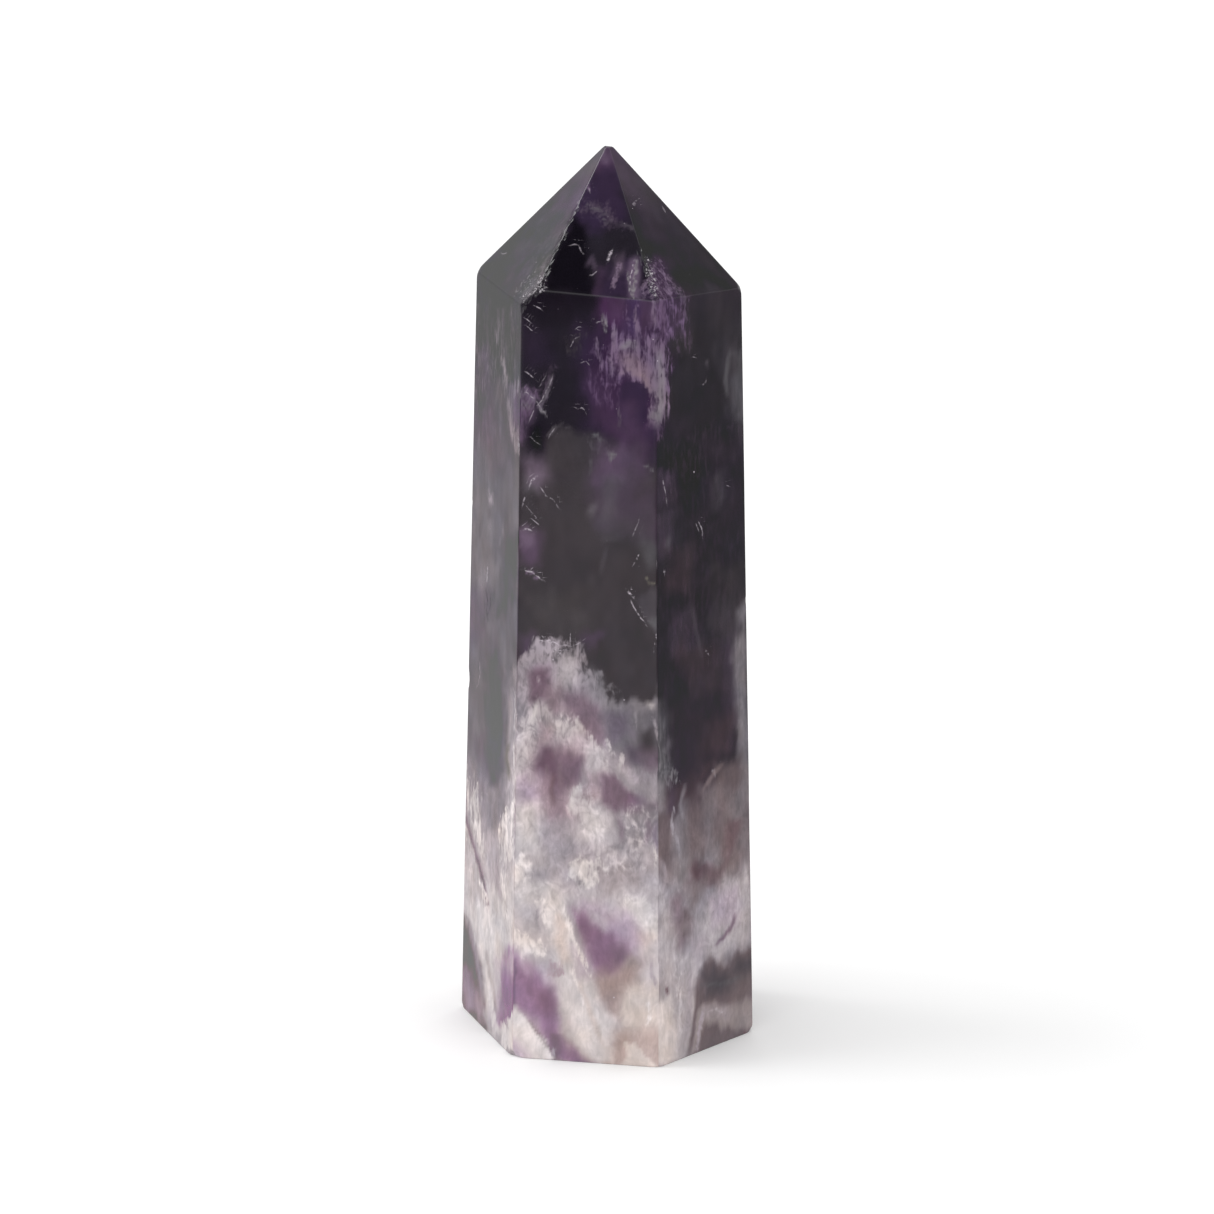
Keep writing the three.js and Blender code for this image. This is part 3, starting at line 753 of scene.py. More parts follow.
        "edgeWisps": ("veil", "ash", 0.4, 4, [
            (656, 700), (664, 730), (674, 760), (684, 782), (670, 790), (656, 770)]),
        "brownLip": ("glow", "bark", 0.9, 4, [
            (698, 766), (716, 756), (714, 772), (704, 786), (696, 790)]),
        "rimDrift": ("glow", "clay", 0.7, 6, [
            (716, 764), (742, 752), (752, 800), (728, 830), (712, 800)]),
        "pocketGrey": ("glow", "ash", 0.6, 7, [(728, 790), (750, 780), (750, 850), (732, 850)]),
        "swirlDark": ("glow", "bark", 0.85, 5, [
            (669, 790), (684, 782), (692, 800), (682, 822), (668, 830)]),
        "swirlViolet": ("glow", "haze", 0.7, 4, [(668, 780), (676, 786), (674, 812), (668, 812)]),
        "swirlLight": ("glow", "ash", 0.7, 4, [
            (678, 806), (688, 800), (690, 860), (680, 880), (676, 850)]),
        "swirlDarkTwo": ("glow", "umber", 0.9, 4, [
            (658, 826), (668, 824), (672, 850), (670, 872), (660, 862)]),
        "swirlMist": ("glow", "mist", 0.6, 4, [(670, 822), (678, 820), (681, 862), (674, 880)]),
        "clayLight": ("glow", "silver", 0.5, 6, [(702, 790), (716, 786), (718, 860), (704, 862)]),
        "clayDark": ("glow", "umber", 0.5, 7, [(686, 800), (702, 796), (700, 850), (688, 852)]),
        "redStreak": ("glow", "rust", 0.7, 4, [
            (728, 824), (741, 820), (738, 846), (728, 868), (724, 866)]),
        "rustPatch": ("glow", "rust", 1.0, 4, [
            (691, 868), (698, 862), (706, 866), (702, 880), (692, 882)]),
        "rustPatchTwo": ("glow", "rust", 0.7, 4, [(706, 868), (724, 870), (722, 886), (708, 884)]),
        "rustTail": ("glow", "clay", 0.85, 5, [(688, 882), (706, 880), (702, 902), (690, 914)]),
        "paleRegion": ("glow", "pearl", 0.9, 6, [
            (704, 906), (716, 892), (726, 880), (752, 868), (752, 940), (736, 944), (722, 960),
            (702, 956), (696, 930)]),
        "paleRose": ("glow", "orchid", 0.5, 7, [(708, 896), (738, 886), (736, 918), (714, 926)]),
        "fawnColumn": ("glow", "mauve", 0.75, 5, [(669, 896), (684, 898), (688, 956), (672, 960)]),
        "darkTongue": ("glow", "umber", 0.9, 3.5, [(682, 910), (690, 908), (692, 934), (683, 937)]),
        "milkFlow": ("glow", "lavender", 0.8, 6, [
            (692, 925), (706, 940), (704, 962), (696, 975), (690, 950)]),
        "stripeFawn": ("glow", "fawn", 0.6, 5, [(664, 926), (678, 926), (680, 976), (664, 976)]),
        "innerStripe": ("glow", "pearl", 0.85, 6, [
            (656, 880), (668, 890), (674, 950), (690, 948), (702, 962), (698, 1010), (690, 1064),
            (656, 1066)]),
        "outerCream": ("glow", "cream", 0.85, 6, [
            (654, 1000), (670, 996), (674, 1066), (654, 1068)]),
        "saddle": ("glow", "umber", 1.0, 2.5, [
            (698, 1006), (700, 974), (703, 966), (711, 959), (716, 965), (727, 965), (735, 953),
            (745, 947), (756, 942), (756, 1000), (730, 1004)]),
        "saddleDeep": ("glow", "slate", 0.9, 6, [
            (702, 972), (728, 970), (736, 958), (756, 950), (756, 972), (728, 992), (702, 1000)]),
        "saddleClay": ("glow", "clay", 0.6, 6, [(732, 974), (756, 970), (756, 1000), (732, 1000)]),
        "paleSill": ("glow", "fawn", 0.95, 4, [
            (701, 1004), (756, 1000), (756, 1030), (728, 1026), (700, 1018)]),
        "sillLight": ("glow", "lavender", 0.6, 4, [
            (704, 1006), (730, 1004), (730, 1018), (704, 1018)]),
        "brownSill": ("gap", "umber", 0.95, 3, [
            (704, 1023), (712, 1022), (722, 1027), (734, 1028), (756, 1030), (756, 1048),
            (698, 1052)]),
    },
}

# Lines and bands that lie in it: kind, tone, strength, half width in pixels, and the path
bands = {
    "crownFront": {
        "capGleam": ("glow", "lilac", 0.35, 3, [(603, 150), (604, 158), (608, 164)]),
        "capStroke": ("veil", "plum", 0.6, 2.5, [(585, 182), (590, 192)]),
        "veilGleam": ("veil", "pewter", 0.5, 1.8, [(586, 205), (597, 209), (608, 215)]),
        "veilGleamTwo": ("veil", "pewter", 0.5, 1.8, [(602, 216), (606, 222), (614, 224)]),
        "veilGleamThree": ("veil", "slate", 0.7, 2.5, [(622, 224), (636, 229)]),
        "violetGleam": ("glow", "haze", 0.8, 2.5, [(587, 264), (592, 258), (596, 270)]),
        "fallLine": ("veil", "lilac", 0.9, 2.2, [(620, 262), (616, 276), (610, 290)]),
        "fallLineTwo": ("veil", "silver", 0.6, 2.2, [(637, 258), (635, 276), (632, 292)]),
        "fallLineThree": ("veil", "ash", 0.6, 2, [(628, 272), (629, 284), (633, 298)]),
        "fallLineFour": ("veil", "ash", 0.7, 2.2, [(650, 268), (655, 284), (658, 298)]),
    },
    "crownFrontLeft": {
        "frostGleam": ("veil", "silver", 0.8, 2.5, [(546, 266), (542, 276), (543, 284)]),
    },
    "front frontRight": {
        "streamOne": ("veil", "ash", 0.55, 2.4, [(604, 312), (605, 322), (607, 332)]),
        "streamTwo": ("veil", "lilac", 0.8, 2.2, [(614, 324), (615, 338), (613, 352)]),
        "streamThree": ("veil", "silver", 0.75, 3.4, [(621, 347), (629, 343), (637, 347)]),
        "streamFour": ("veil", "lilac", 0.8, 2.2, [(596, 340), (598, 352), (601, 366)]),
        "streamFive": ("veil", "lilac", 0.8, 2.4, [(609, 356), (613, 368), (611, 378)]),
        "streamSix": ("veil", "iris", 0.5, 2.2, [(627, 298), (626, 312), (629, 322)]),
        "streamSeven": ("veil", "lilac", 0.7, 2.2, [(636, 306), (635, 322), (637, 334)]),
        "streamEight": ("veil", "lilac", 0.7, 2.4, [(653, 296), (652, 312), (655, 326)]),
        "streamNine": ("veil", "plum", 0.7, 2.4, [(662, 300), (664, 320), (661, 336)]),
        "windowRim": ("veil", "mauve", 0.7, 2.6, [(620, 372), (630, 370), (642, 376), (650, 388)]),
        "bankGleam": ("veil", "silver", 0.6, 3.4, [(660, 356), (663, 380), (661, 404), (657, 424)]),
        "bankFoot": ("veil", "flint", 0.6, 3, [(650, 416), (656, 412), (660, 420)]),
        "windowStroke": ("veil", "haze", 0.7, 2.2, [(616, 404), (620, 418), (618, 430)]),
    },
    "front": {
        "hazeSpine": ("veil", "silver", 0.5, 2.0, [(521, 390), (531, 396), (539, 406), (547, 418)]),
        "hazeSpineTwo": ("veil", "ash", 0.6, 2.2, [(552, 376), (549, 388), (541, 404)]),
        "hazeFoot": ("veil", "ash", 0.6, 2.6, [(518, 408), (526, 404), (534, 408)]),
        "wedgeTop": ("veil", "slate", 0.7, 2.5, [(549, 436), (555, 427), (562, 424), (572, 430)]),
        "wedgeLine": ("veil", "pewter", 0.6, 2.2, [(590, 434), (598, 436), (604, 441)]),
        "tuftTwo": ("veil", "flint", 0.8, 3, [(609, 452), (614, 454), (611, 458)]),
        "pinkTuft": ("glow", "flint", 0.55, 4, [(596, 504), (592, 510), (590, 516)]),
        "rightTuft": ("veil", "flint", 0.7, 2.2, [(645, 466), (651, 468), (656, 474)]),
        "smallTuft": ("veil", "slate", 0.7, 2.2, [(590, 458), (591, 470), (588, 476)]),
        "driftLine": ("glow", "slate", 0.6, 3, [(602, 540), (612, 538), (622, 536)]),
        "driftLineTwo": ("glow", "slate", 0.6, 2.6, [(606, 550), (603, 562), (601, 574)]),
        "mossTuft": ("veil", "moss", 0.8, 2, [(646, 578), (651, 581), (656, 584)]),
        "lowTuft": ("veil", "lilac", 0.6, 2.5, [(524, 572), (532, 575), (541, 580)]),
        "frostTail": ("glow", "haze", 0.8, 4, [(584, 640), (596, 637), (602, 634)]),
        "paleFleck": ("veil", "shell", 0.5, 1.1, [(538, 677), (540, 683)]),
        "driftOne": ("veil", "mist", 0.7, 2.2, [(588, 670), (593, 676), (597, 684)]),
        "driftTwo": ("veil", "silver", 0.7, 2.2, [(602, 690), (604, 700), (600, 708)]),
        "driftThree": ("veil", "silver", 0.6, 2.2, [(612, 682), (608, 690)]),
        "driftFour": ("veil", "silver", 0.6, 2, [(610, 705), (618, 708)]),
        "rightFleck": ("glow", "chalk", 0.5, 3.0, [(648, 702), (653, 708)]),
        
        "limbPeak": ("veil", "chalk", 0.8, 2.6, [(536, 702), (535, 712), (531, 722)]),
        "limbWispOne": ("veil", "shell", 0.6, 2.2, [(562, 712), (561, 722)]),
        "limbWispTwo": ("veil", "shell", 0.6, 2.2, [(574, 714), (577, 724), (580, 732)]),
        "limbWispThree": ("veil", "shell", 0.7, 2.4, [(590, 736), (595, 744), (600, 752)]),
        "mottleWisp": ("veil", "mist", 0.7, 2.2, [(652, 716), (656, 728), (660, 742)]),
        "mottleWispTwo": ("veil", "silver", 0.6, 2.2, [(638, 708), (634, 720), (636, 730)]),
        "ropeOne": ("veil", "pearl", 0.7, 2.4, [(608, 740), (611, 750), (614, 758)]),
        "ropeTwo": ("veil", "pearl", 0.8, 2.8, [(622, 756), (621, 764), (618, 772)]),
        "ropeThree": ("veil", "lavender", 0.7, 2.6, [(628, 768), (634, 776), (642, 786)]),
        "ropeFour": ("veil", "mist", 0.6, 3, [(612, 762), (620, 776), (632, 786), (644, 794)]),
        "ropeFive": ("veil", "mist", 0.6, 2.4, [(640, 770), (650, 778), (656, 790)]),
        "ropeSix": ("veil", "mist", 0.6, 3, [(652, 776), (658, 790)]),
        "windowReed": ("glow", "mauve", 0.7, 2.2, [(547, 766), (546, 776), (545, 788)]),
        "windowReedTwo": ("glow", "rust", 0.5, 2.6, [(553, 776), (551, 790), (553, 806)]),
        "windowReedThree": ("glow", "mauve", 0.6, 2.4, [(560, 762), (559, 776), (562, 790)]),
        "windowReedFour": ("veil", "rose", 0.5, 2, [(570, 796), (567, 808), (569, 820)]),
        "bankSlit": ("glow", "dusk", 0.5, 3, [(648, 820), (650, 830), (647, 842)]),
        "bankSlitTwo": ("glow", "lilac", 0.5, 3, [(656, 822), (655, 836), (658, 848)]),
        "bankSlitThree": ("glow", "dusk", 0.45, 3, [(618, 818), (622, 828), (621, 840)]),
        "bankSlitFour": ("glow", "silver", 0.5, 3.5, [(608, 850), (616, 846), (626, 852)]),
        "shoreEdge": ("veil", "chalk", 0.7, 2.4, [(583, 782), (576, 790), (572, 800), (571, 812)]),
        "knotArc": ("veil", "chalk", 0.7, 2, [(586, 820), (590, 816), (595, 820)]),
        "bankReed": ("veil", "shell", 0.55, 2, [(637, 816), (638, 832), (641, 848)]),
        "bankReedTwo": ("veil", "shell", 0.4, 2, [(628, 814), (627, 832), (630, 846)]),
        "bankReedThree": ("veil", "chalk", 0.6, 2, [(654, 842), (656, 858), (655, 868)]),
        "bankReedFour": ("glow", "silver", 0.6, 2.4, [(660, 830), (661, 850), (663, 868)]),
        "shelfTuft": ("veil", "snow", 0.8, 2.8, [(583, 864), (582, 874), (588, 886)]),
        "shelfTuftTwo": ("veil", "chalk", 0.7, 2.6, [(574, 868), (570, 880)]),
        "shelfDot": ("glow", "silver", 0.8, 3, [(578, 880), (582, 884)]),
        "shelfWisp": ("veil", "chalk", 0.6, 2.6, [(596, 850), (600, 864), (608, 872)]),
        "shelfWispTwo": ("glow", "mist", 0.6, 3, [(566, 850), (564, 862)]),
        "stepWisp": ("veil", "mist", 0.7, 2.6, [(540, 906), (536, 920), (540, 932)]),
        "ribOne": ("veil", "snow", 0.8, 2.8, [(562, 905), (570, 928), (578, 950), (590, 975)]),
        "ribTwo": ("glow", "lavender", 0.6, 2.4, [(568, 905), (576, 930), (584, 955)]),
        "ribThree": ("veil", "snow", 0.7, 2.4, [(572, 970), (584, 1000), (598, 1030)]),
        "ribFour": ("glow", "peach", 0.6, 2.6, [(580, 985), (592, 1015), (604, 1045)]),
        "peachTip": ("veil", "snow", 0.7, 2.2, [(560, 958), (558, 966)]),
        "poolLine": ("glow", "lilac", 0.75, 1.6, [(515, 958), (514, 985), (514, 1008)]),
        "poolGlow": ("glow", "orchid", 0.5, 4, [(520, 962), (530, 974)]),
        "tentEdge": ("gap", "umber", 0.5, 1.6, [
            (528, 1020), (540, 1034), (550, 1048), (556, 1060)]),
        "tailFleck": ("veil", "lavender", 0.6, 1.8, [(553, 1046), (554, 1056)]),
        "creamWisp": ("veil", "snow", 0.6, 3, [(646, 1000), (650, 1014), (648, 1026)]),
        "shoreWisp": ("veil", "lavender", 0.5, 2.6, [(650, 955), (652, 975), (656, 990)]),
    },
    "frontLeft": {
        "rimStreak": ("glow", "silver", 0.5, 3, [(481, 440), (479, 480), (478, 520)]),
        "topNeedle": ("veil", "mist", 0.6, 2, [(496, 330), (498, 345)]),
        "strand": ("veil", "mist", 0.6, 2.2, [(501, 356), (505, 372), (508, 386)]),
        "strandLow": ("veil", "lavender", 0.6, 2, [(509, 400), (510, 420), (514, 440), (517, 454)]),
        "midGleam": ("veil", "lavender", 0.7, 2.6, [(489, 490), (492, 504)]),
        "needleTwo": ("veil", "mist", 0.5, 2.2, [(504, 522), (502, 536), (498, 548)]),
        "needleThree": ("glow", "mist", 0.6, 2.5, [(490, 520), (490, 548)]),
        "tongueRim": ("glow", "pearl", 0.4, 2.4, [(511, 690), (511, 720), (508, 760)]),
        "greenRim": ("glow", "moss", 0.6, 2, [(508, 745), (507, 760), (509, 780)]),
        # A painted highlight: a thin pale line along the edge with the front facet, where the
        # rounded edge catches the light
        "edgeHighlight": ("veil", "chalk", 0.35, 1.8, [(516, 690), (515, 740), (514, 800), (512, 816)]),
        "leanDark": ("glow", "dusk", 0.85, 1.7, [
            (464, 812), (472, 840), (479, 866), (485, 892), (489, 912)]),
        "leanDarkTwo": ("glow", "lavender", 0.7, 2, [(470, 826), (478, 856), (486, 880)]),
        "leanLight": ("veil", "snow", 0.7, 2.2, [(474, 800), (480, 836), (484, 858)]),
        "leanLightTwo": ("veil", "snow", 0.6, 2.4, [(480, 880), (486, 900), (492, 922)]),
        "midReed": ("glow", "lavender", 0.6, 2, [(497, 850), (498, 880), (500, 900)]),
        "midReedTwo": ("veil", "snow", 0.5, 2.2, [(503, 870), (504, 900), (508, 930)]),
        "stripeEdge": ("glow", "fawn", 0.4, 2, [(486, 950), (492, 985), (497, 1020)]),
        "fangRib": ("glow", "lavender", 0.7, 2, [(468, 918), (474, 945), (480, 975), (484, 1000)]),
        "fangRibTwo": ("glow", "pearl", 0.6, 2, [(484, 1010), (490, 1028)]),
        "footLight": ("veil", "snow", 0.7, 2.6, [(490, 1000), (496, 1030)]),
    },
    "frontRight": {
        "fleckTwo": ("glow", "slate", 0.7, 2, [(707, 361), (708, 366)]),
        "rimLine": ("glow", "pewter", 0.6, 2, [(730, 352), (726, 380), (728, 396)]),
        "violetReed": ("glow", "haze", 0.6, 2.4, [(668, 474), (668, 486)]),
        "edgeDrop": ("glow", "slate", 0.8, 2.4, [(670, 536), (668, 548)]),
        "fleckThree": ("veil", "silver", 0.7, 1.6, [(709, 662), (709, 664)]),
        "seam": ("glow", "slate", 0.5, 2, [(692, 606), (696, 630), (702, 656)]),
        "seamTwo": ("glow", "shade", 0.6, 3, [(700, 680), (708, 700), (706, 716)]),
        "rimEdge": ("glow", "silver", 0.5, 2.4, [(742, 700), (741, 730), (737, 758)]),
        "paleSpot": ("veil", "mist", 0.8, 2, [(713, 770), (716, 776)]),
        "bayLip": ("glow", "clay", 0.8, 2, [(722, 764), (712, 776), (702, 792)]),
        "curvedReed": ("veil", "mist", 0.7, 1.8, [(674, 808), (671, 822), (677, 842), (680, 866)]),
        "curvedReedTwo": ("glow", "silver", 0.7, 2, [(684, 786), (680, 806), (686, 826)]),
        "greyReedTwo": ("glow", "lavender", 0.5, 2.4, [(661, 860), (666, 876), (664, 896)]),
        "thinReed": ("glow", "umber", 0.6, 1.8, [(704, 840), (703, 860), (698, 868)]),
        "diagonal": ("glow", "dusk", 0.85, 2, [(734, 915), (731, 927), (722, 938), (716, 945)]),
        "innerLight": ("veil", "shell", 0.5, 3, [(676, 960), (680, 1000), (678, 1050)]),
        "innerShade": ("glow", "lavender", 0.5, 3, [(690, 970), (690, 1000), (686, 1040)]),
        "darkLean": ("glow", "umber", 0.95, 2, [(699, 980), (697, 1005), (693, 1030), (688, 1056)]),
        "lightLean": ("veil", "lavender", 0.8, 2.2, [(703, 1010), (700, 1030), (696, 1052)]),
        "saddleLine": ("glow", "pewter", 0.6, 2, [(702, 986), (722, 984), (744, 978)]),
        "sillLine": ("veil", "pearl", 0.5, 2, [(704, 1012), (716, 1010), (726, 1014)]),
        "pit": ("gap", "rust", 0.95, 1.6, [(666, 988), (667, 995)]),
        "pitTwo": ("gap", "rust", 0.9, 1.8, [(744, 1032), (744, 1036)]),
    },
}

# Where the milk lies in fine upright threads: facets, how strongly, softness and outline
threads = {
    "cloud": ("front", 0.55, 8, [
        (592, 290), (670, 290), (670, 430), (640, 384), (622, 384), (618, 412), (586, 412)]),
    "cloudSide": ("frontRight", 0.45, 8, [
        (650, 280), (694, 284), (694, 346), (674, 352), (672, 436), (650, 436)]),
    "crownLeft": ("crownFrontLeft", 0.3, 6, [
        (490, 260), (600, 150), (604, 200), (545, 290), (500, 290)]),
    "crownFall": ("crownFront crownFrontRight", 0.35, 6, [
        (600, 256), (655, 252), (690, 300), (600, 300)]),
    "leftFacet": ("frontLeft", 0.8, 10, [(460, 300), (525, 300), (525, 650), (460, 650)]),
    "leftFoot": ("frontLeft", 0.5, 10, [(455, 690), (520, 690), (510, 960), (455, 960)]),
    "frost": ("front", 0.1, 6, [(518, 640), (612, 640), (612, 716), (518, 716)]),
    "limb": ("front", 0.25, 6, [
        (530, 700), (606, 708), (664, 760), (664, 850), (606, 800), (560, 742)]),
    "lean": ("front", 0.35, 8, [(550, 900), (620, 1000), (612, 1062), (560, 1000)]),
    "rightFoot": ("frontRight", 0.5, 8, [(655, 780), (752, 770), (752, 950), (655, 1060)]),
    "rightFacet": ("frontRight", 0.8, 8, [(655, 350), (752, 330), (752, 760), (655, 770)]),
}

# Thin fractures, painted bright as the glint they flash, and pits, with strength less than nothing,
# painted dark as their shade: strength, half width in pixels, and path
fractureGlintsAndPits = {
    "crownFront": {
        "blackOne": (0.3, 0.9, [(570, 246), (578, 244), (582, 252)]),
        "fallOne": (0.4, 1.0, [(590, 275), (600, 268)]),
        "gleam": (0.7, 2.0, [(612, 250), (609, 256), (607, 261)]),
        "gleamTwo": (0.4, 1.3, [(577, 244), (584, 255)]),
        "paleFallLine": (0.5, 1.2, [(634, 259), (630, 276), (628, 292)]),
        "capLine": (0.25, 1.2, [(586, 182), (591, 195)]),
    },
    "crownFrontLeft": {
        "ridgeLine": (0.55, 1.4, [(590, 189), (583, 198), (576, 206)]),
        "nick": (0.4, 1.2, [(502, 253), (507, 252)]),
    },
    "crownFrontRight": {
        "hook": (0.35, 1.2, [(631, 206), (636, 201), (634, 207)]),
        "rim": (0.3, 1.1, [(662, 206), (665, 212), (667, 216)]),
    },
    "front": {
        "topOne": (0.55, 1.0, [(534, 305), (538, 307), (543, 311)]),
        "topTwo": (0.5, 0.9, [(524, 317), (533, 324)]),
        "topThree": (0.45, 0.9, [(526, 326), (532, 331), (538, 333)]),
        "sideOne": (0.5, 1.1, [(525, 372), (530, 376), (535, 380)]),
        "crossing": (0.4, 0.9, [
            (553, 372), (550, 385), (543, 396), (538, 405), (530, 418), (524, 430)]),
        "crossingTwo": (0.35, 0.9, [(521, 389), (532, 396), (541, 408), (547, 418)]),
        "crossingThree": (0.25, 0.8, [(546, 372), (542, 384), (536, 392)]),
        "below": (0.25, 0.8, [(528, 436), (534, 442), (541, 446)]),
        "belowTwo": (0.35, 0.9, [(556, 426), (551, 434), (549, 439)]),
        "middleOne": (0.35, 0.9, [(571, 348), (575, 340), (579, 337)]),
        "middleTwo": (0.35, 0.9, [(593, 326), (598, 322), (603, 321)]),
        "middleThree": (0.35, 0.9, [(581, 364), (586, 363), (590, 366)]),
        "middleFour": (0.3, 0.8, [(576, 330), (579, 327), (583, 328)]),
        "curl": (0.35, 0.8, [(573, 408), (578, 409), (582, 407), (586, 411), (587, 414)]),
        "star": (0.75, 2.0, [(529, 487), (532, 482), (537, 477)]),
        "tentLeft": (0.45, 1.2, [(529, 489), (524, 499), (521, 507)]),
        "tentRight": (0.55, 1.0, [(541, 488), (547, 496), (553, 500), (560, 511)]),
        "arcOne": (0.55, 1.3, [(520, 530), (525, 527), (531, 530), (536, 536)]),
        "arcTwo": (0.4, 0.9, [(528, 517), (535, 521), (541, 527)]),
        "arcThree": (0.25, 0.8, [(524, 503), (532, 512), (540, 522)]),
        "lowOne": (0.65, 1.5, [(523, 570), (531, 573), (539, 577), (546, 582)]),
        "thread": (0.35, 1.0, [(639, 519), (637, 528), (633, 537)]),
        "threadTwo": (0.6, 1.1, [(639, 553), (636, 560), (632, 567)]),
        "brightNick": (0.9, 1.9, [(627, 590), (630, 594), (635, 600)]),
        "nickTail": (0.5, 1.1, [(630, 600), (634, 607), (640, 618), (648, 629)]),
        "drop": (0.9, 1.8, [(656, 632), (656, 638)]),
        "dropTail": (0.4, 0.9, [(655, 641), (654, 654)]),
        "edgeTick": (0.3, 0.8, [(657, 560), (657, 568)]),
        "frostLine": (0.75, 0.9, [(537, 640), (548, 641), (560, 645), (572, 646)]),
        "frostRise": (0.5, 0.7, [(570, 633), (570, 645)]),
        "frostEnd": (0.35, 0.8, [(571, 646), (579, 643), (586, 638)]),
        "frostUnder": (0.4, 0.8, [(551, 648), (558, 652), (566, 655)]),
        "frostUnderTwo": (0.35, 0.7, [(556, 656), (562, 650), (568, 649)]),
        "frostLeft": (0.4, 0.8, [(540, 634), (543, 639), (549, 644)]),
    },
    "frontRight": {
        "edgeLine": (0.4, 1.0, [(663, 478), (665, 490), (667, 507)]),
        "pair": (0.5, 0.9, [(697, 519), (701, 527), (703, 539)]),
        "pairTwo": (0.4, 0.8, [(696, 521), (698, 532)]),
        "hook": (0.35, 0.9, [(702, 385), (706, 384), (707, 379)]),
        "fleckOne": (0.3, 0.9, [(692, 356), (696, 358)]),
        "drop": (0.7, 1.2, [(664, 567), (664, 573)]),
        "speck": (0.3, 0.8, [(724, 485), (731, 487)]),
        "sparkle": (0.4, 1.0, [(706, 650), (710, 656)]),
    },
    "frontLeft": {
        "scratch": (0.3, 0.8, [(480, 660), (480, 674), (479, 683), (475, 688)]),
        "needle": (0.45, 1.1, [(487, 562), (487, 584)]),
        # Pits, painted dark as the shade inside them
        "pitShade": (-0.9, 1.6, [(486, 586), (487, 600), (487, 612), (489, 628)]),
        "pitsTwo": (-0.7, 1.2, [(491, 592), (490, 606), (487, 622)]),
        "pitsThree": (-0.5, 1.2, [(484, 598), (485, 612), (485, 626)]),
        "tuft": (0.35, 1.3, [(518, 436), (519, 453)]),
        # A painted highlight: a bright line along the edge with the front facet, where the rounded
        # edge catches the light
        "edge": (0.3, 0.8, [(515, 690), (514, 750), (513, 800)]),
    },
}

# Bright flecks, chipped and included grains painted bright as sparkle: where they lie thickly, as
# outlines in picture pixels, and how thickly
flecked = {
    "shoulderChips": (1.0, [
        (519, 296), (531, 289), (540, 275), (547, 272), (549, 291), (536, 295), (523, 305)]),
    "ridgeChips": (0.9, [(643, 252), (652, 256), (662, 296), (650, 300), (645, 278)]),
    "shoulderHaze": (0.65, [(510, 290), (538, 262), (544, 284), (520, 302)]),
    "leftRidge": (0.5, [(584, 196), (578, 220), (552, 272), (545, 272), (568, 220)]),
    "capVeil": (0.4, [(580, 200), (642, 206), (642, 232), (580, 228)]),
    "blackFlank": (0.2, [(560, 240), (600, 240), (604, 292), (552, 292)]),
    "violetCloud": (0.07, [(590, 296), (668, 296), (668, 440), (600, 430)]),
    "upperFront": (0.03, [(520, 300), (600, 300), (600, 460), (520, 460)]),
    "frostTop": (0.4, [(540, 630), (590, 630), (590, 668), (540, 668)]),
    "pool": (0.45, [(530, 996), (548, 996), (560, 1046), (540, 1034)]),
    "dots": (0.3, [(482, 588), (490, 588), (492, 632), (484, 632)]),
}

# How the zones wander as they grow: how far in pixels, and the size of the wandering in millimetres
growth = {
    "sway": (2.6, 3.2),
    "ripple": (2.4, 1.2),
    "feather": (4.0, (0.45, 0.45, 2.0)),
    "fray": (1.5, 0.5),
    "uneven": ((2.1, 2.0), ((0.7, 0.7, 1.3), 1.0)),    # sizes and shares of what frays an edge
    "rowFray": 9,          # how far the washes fray, in rows
    "zoneFray": 0.6,       # and the zones, in shares of their softness
    "calm": 0.6,           # how far glows wander, against veils
    "tight": 0.35,         # and bands and fractures
    "backShift": 0.8,      # millimetres that the pattern slips up for each one round the back
    "backSway": (34.0, 9.0),
    "backAcross": 0.5,     # share of that sway from side to side
    "backDepth": 4.0,      # millimetres over which it sets in
    "backFade": 0.6,       # how far the zones fade there
}

# How brightly each facet's body is lit, and what its polish reflects at each picture row
sheen = {
    "crownFront": (1.23, [(146, 0.0012), (292, 0.0013)]),
    "crownFrontLeft": (1.2, [(146, 0.1115), (292, 0.112)]),
    "crownFrontRight": (1.06, [(146, 0.0296), (300, 0.0297)]),
    "front": (1.1, [
        (290, 0.0057), (385, 0.0059), (420, 0.0085), (450, 0.0155), (480, 0.0283), (500, 0.0354),
        (540, 0.0397), (1060, 0.0404)]),
    "frontLeft": (1.03, [
        (270, 0.1126), (360, 0.1154), (420, 0.1273), (480, 0.139), (540, 0.147), (600, 0.148),
        (700, 0.160), (800, 0.165), (900, 0.182), (1060, 0.186)]),
    "frontRight": (1.03, [
        (280, 0.022), (450, 0.022), (540, 0.0236), (640, 0.0235), (740, 0.029), (1060, 0.0301)]),
}

paint = {
    "darkest": 0.002,
    "softness": {"glow": 1.5, "veil": 1.1, "gap": 1.1},    # of each kind's edge, times its own
    "bandEdges": (-1.7, -0.1),         # where bands fade in across, in their half widths
    "drift": [(1.7, 1.7, 2.4), (0.75, 0.75, 1.2)],     # sizes over which brightness drifts
    "driftShare": 0.05,
    "tintSizes": (3.0, 1.3),           # and tint, between cream and lavender
    "tint": np.array([0.0175, 0.0, -0.021]),
    "cottony": [(640, 1.0), (880, 1.0), (950, 0.45), (1066, 0.35)],   # how cottony, by picture row
    "cottonTones": (0.22, 0.62),       # how pale stone is where that sets in
    "strayFlecks": 0.008,
    "fleckEdge": 4,
    "lineReach": 6.0,                  # how far a fracture is felt, in pixels of the frame
    "wornEdge": (-0.35, -0.02),        # millimetres from a second facet
}

seenFacets = {"frontLeft": "frontLeft", "front": "front", "frontRight": "frontRight",
              "backLeft": "frontLeft", "back": "front", "backRight": "frontRight"}


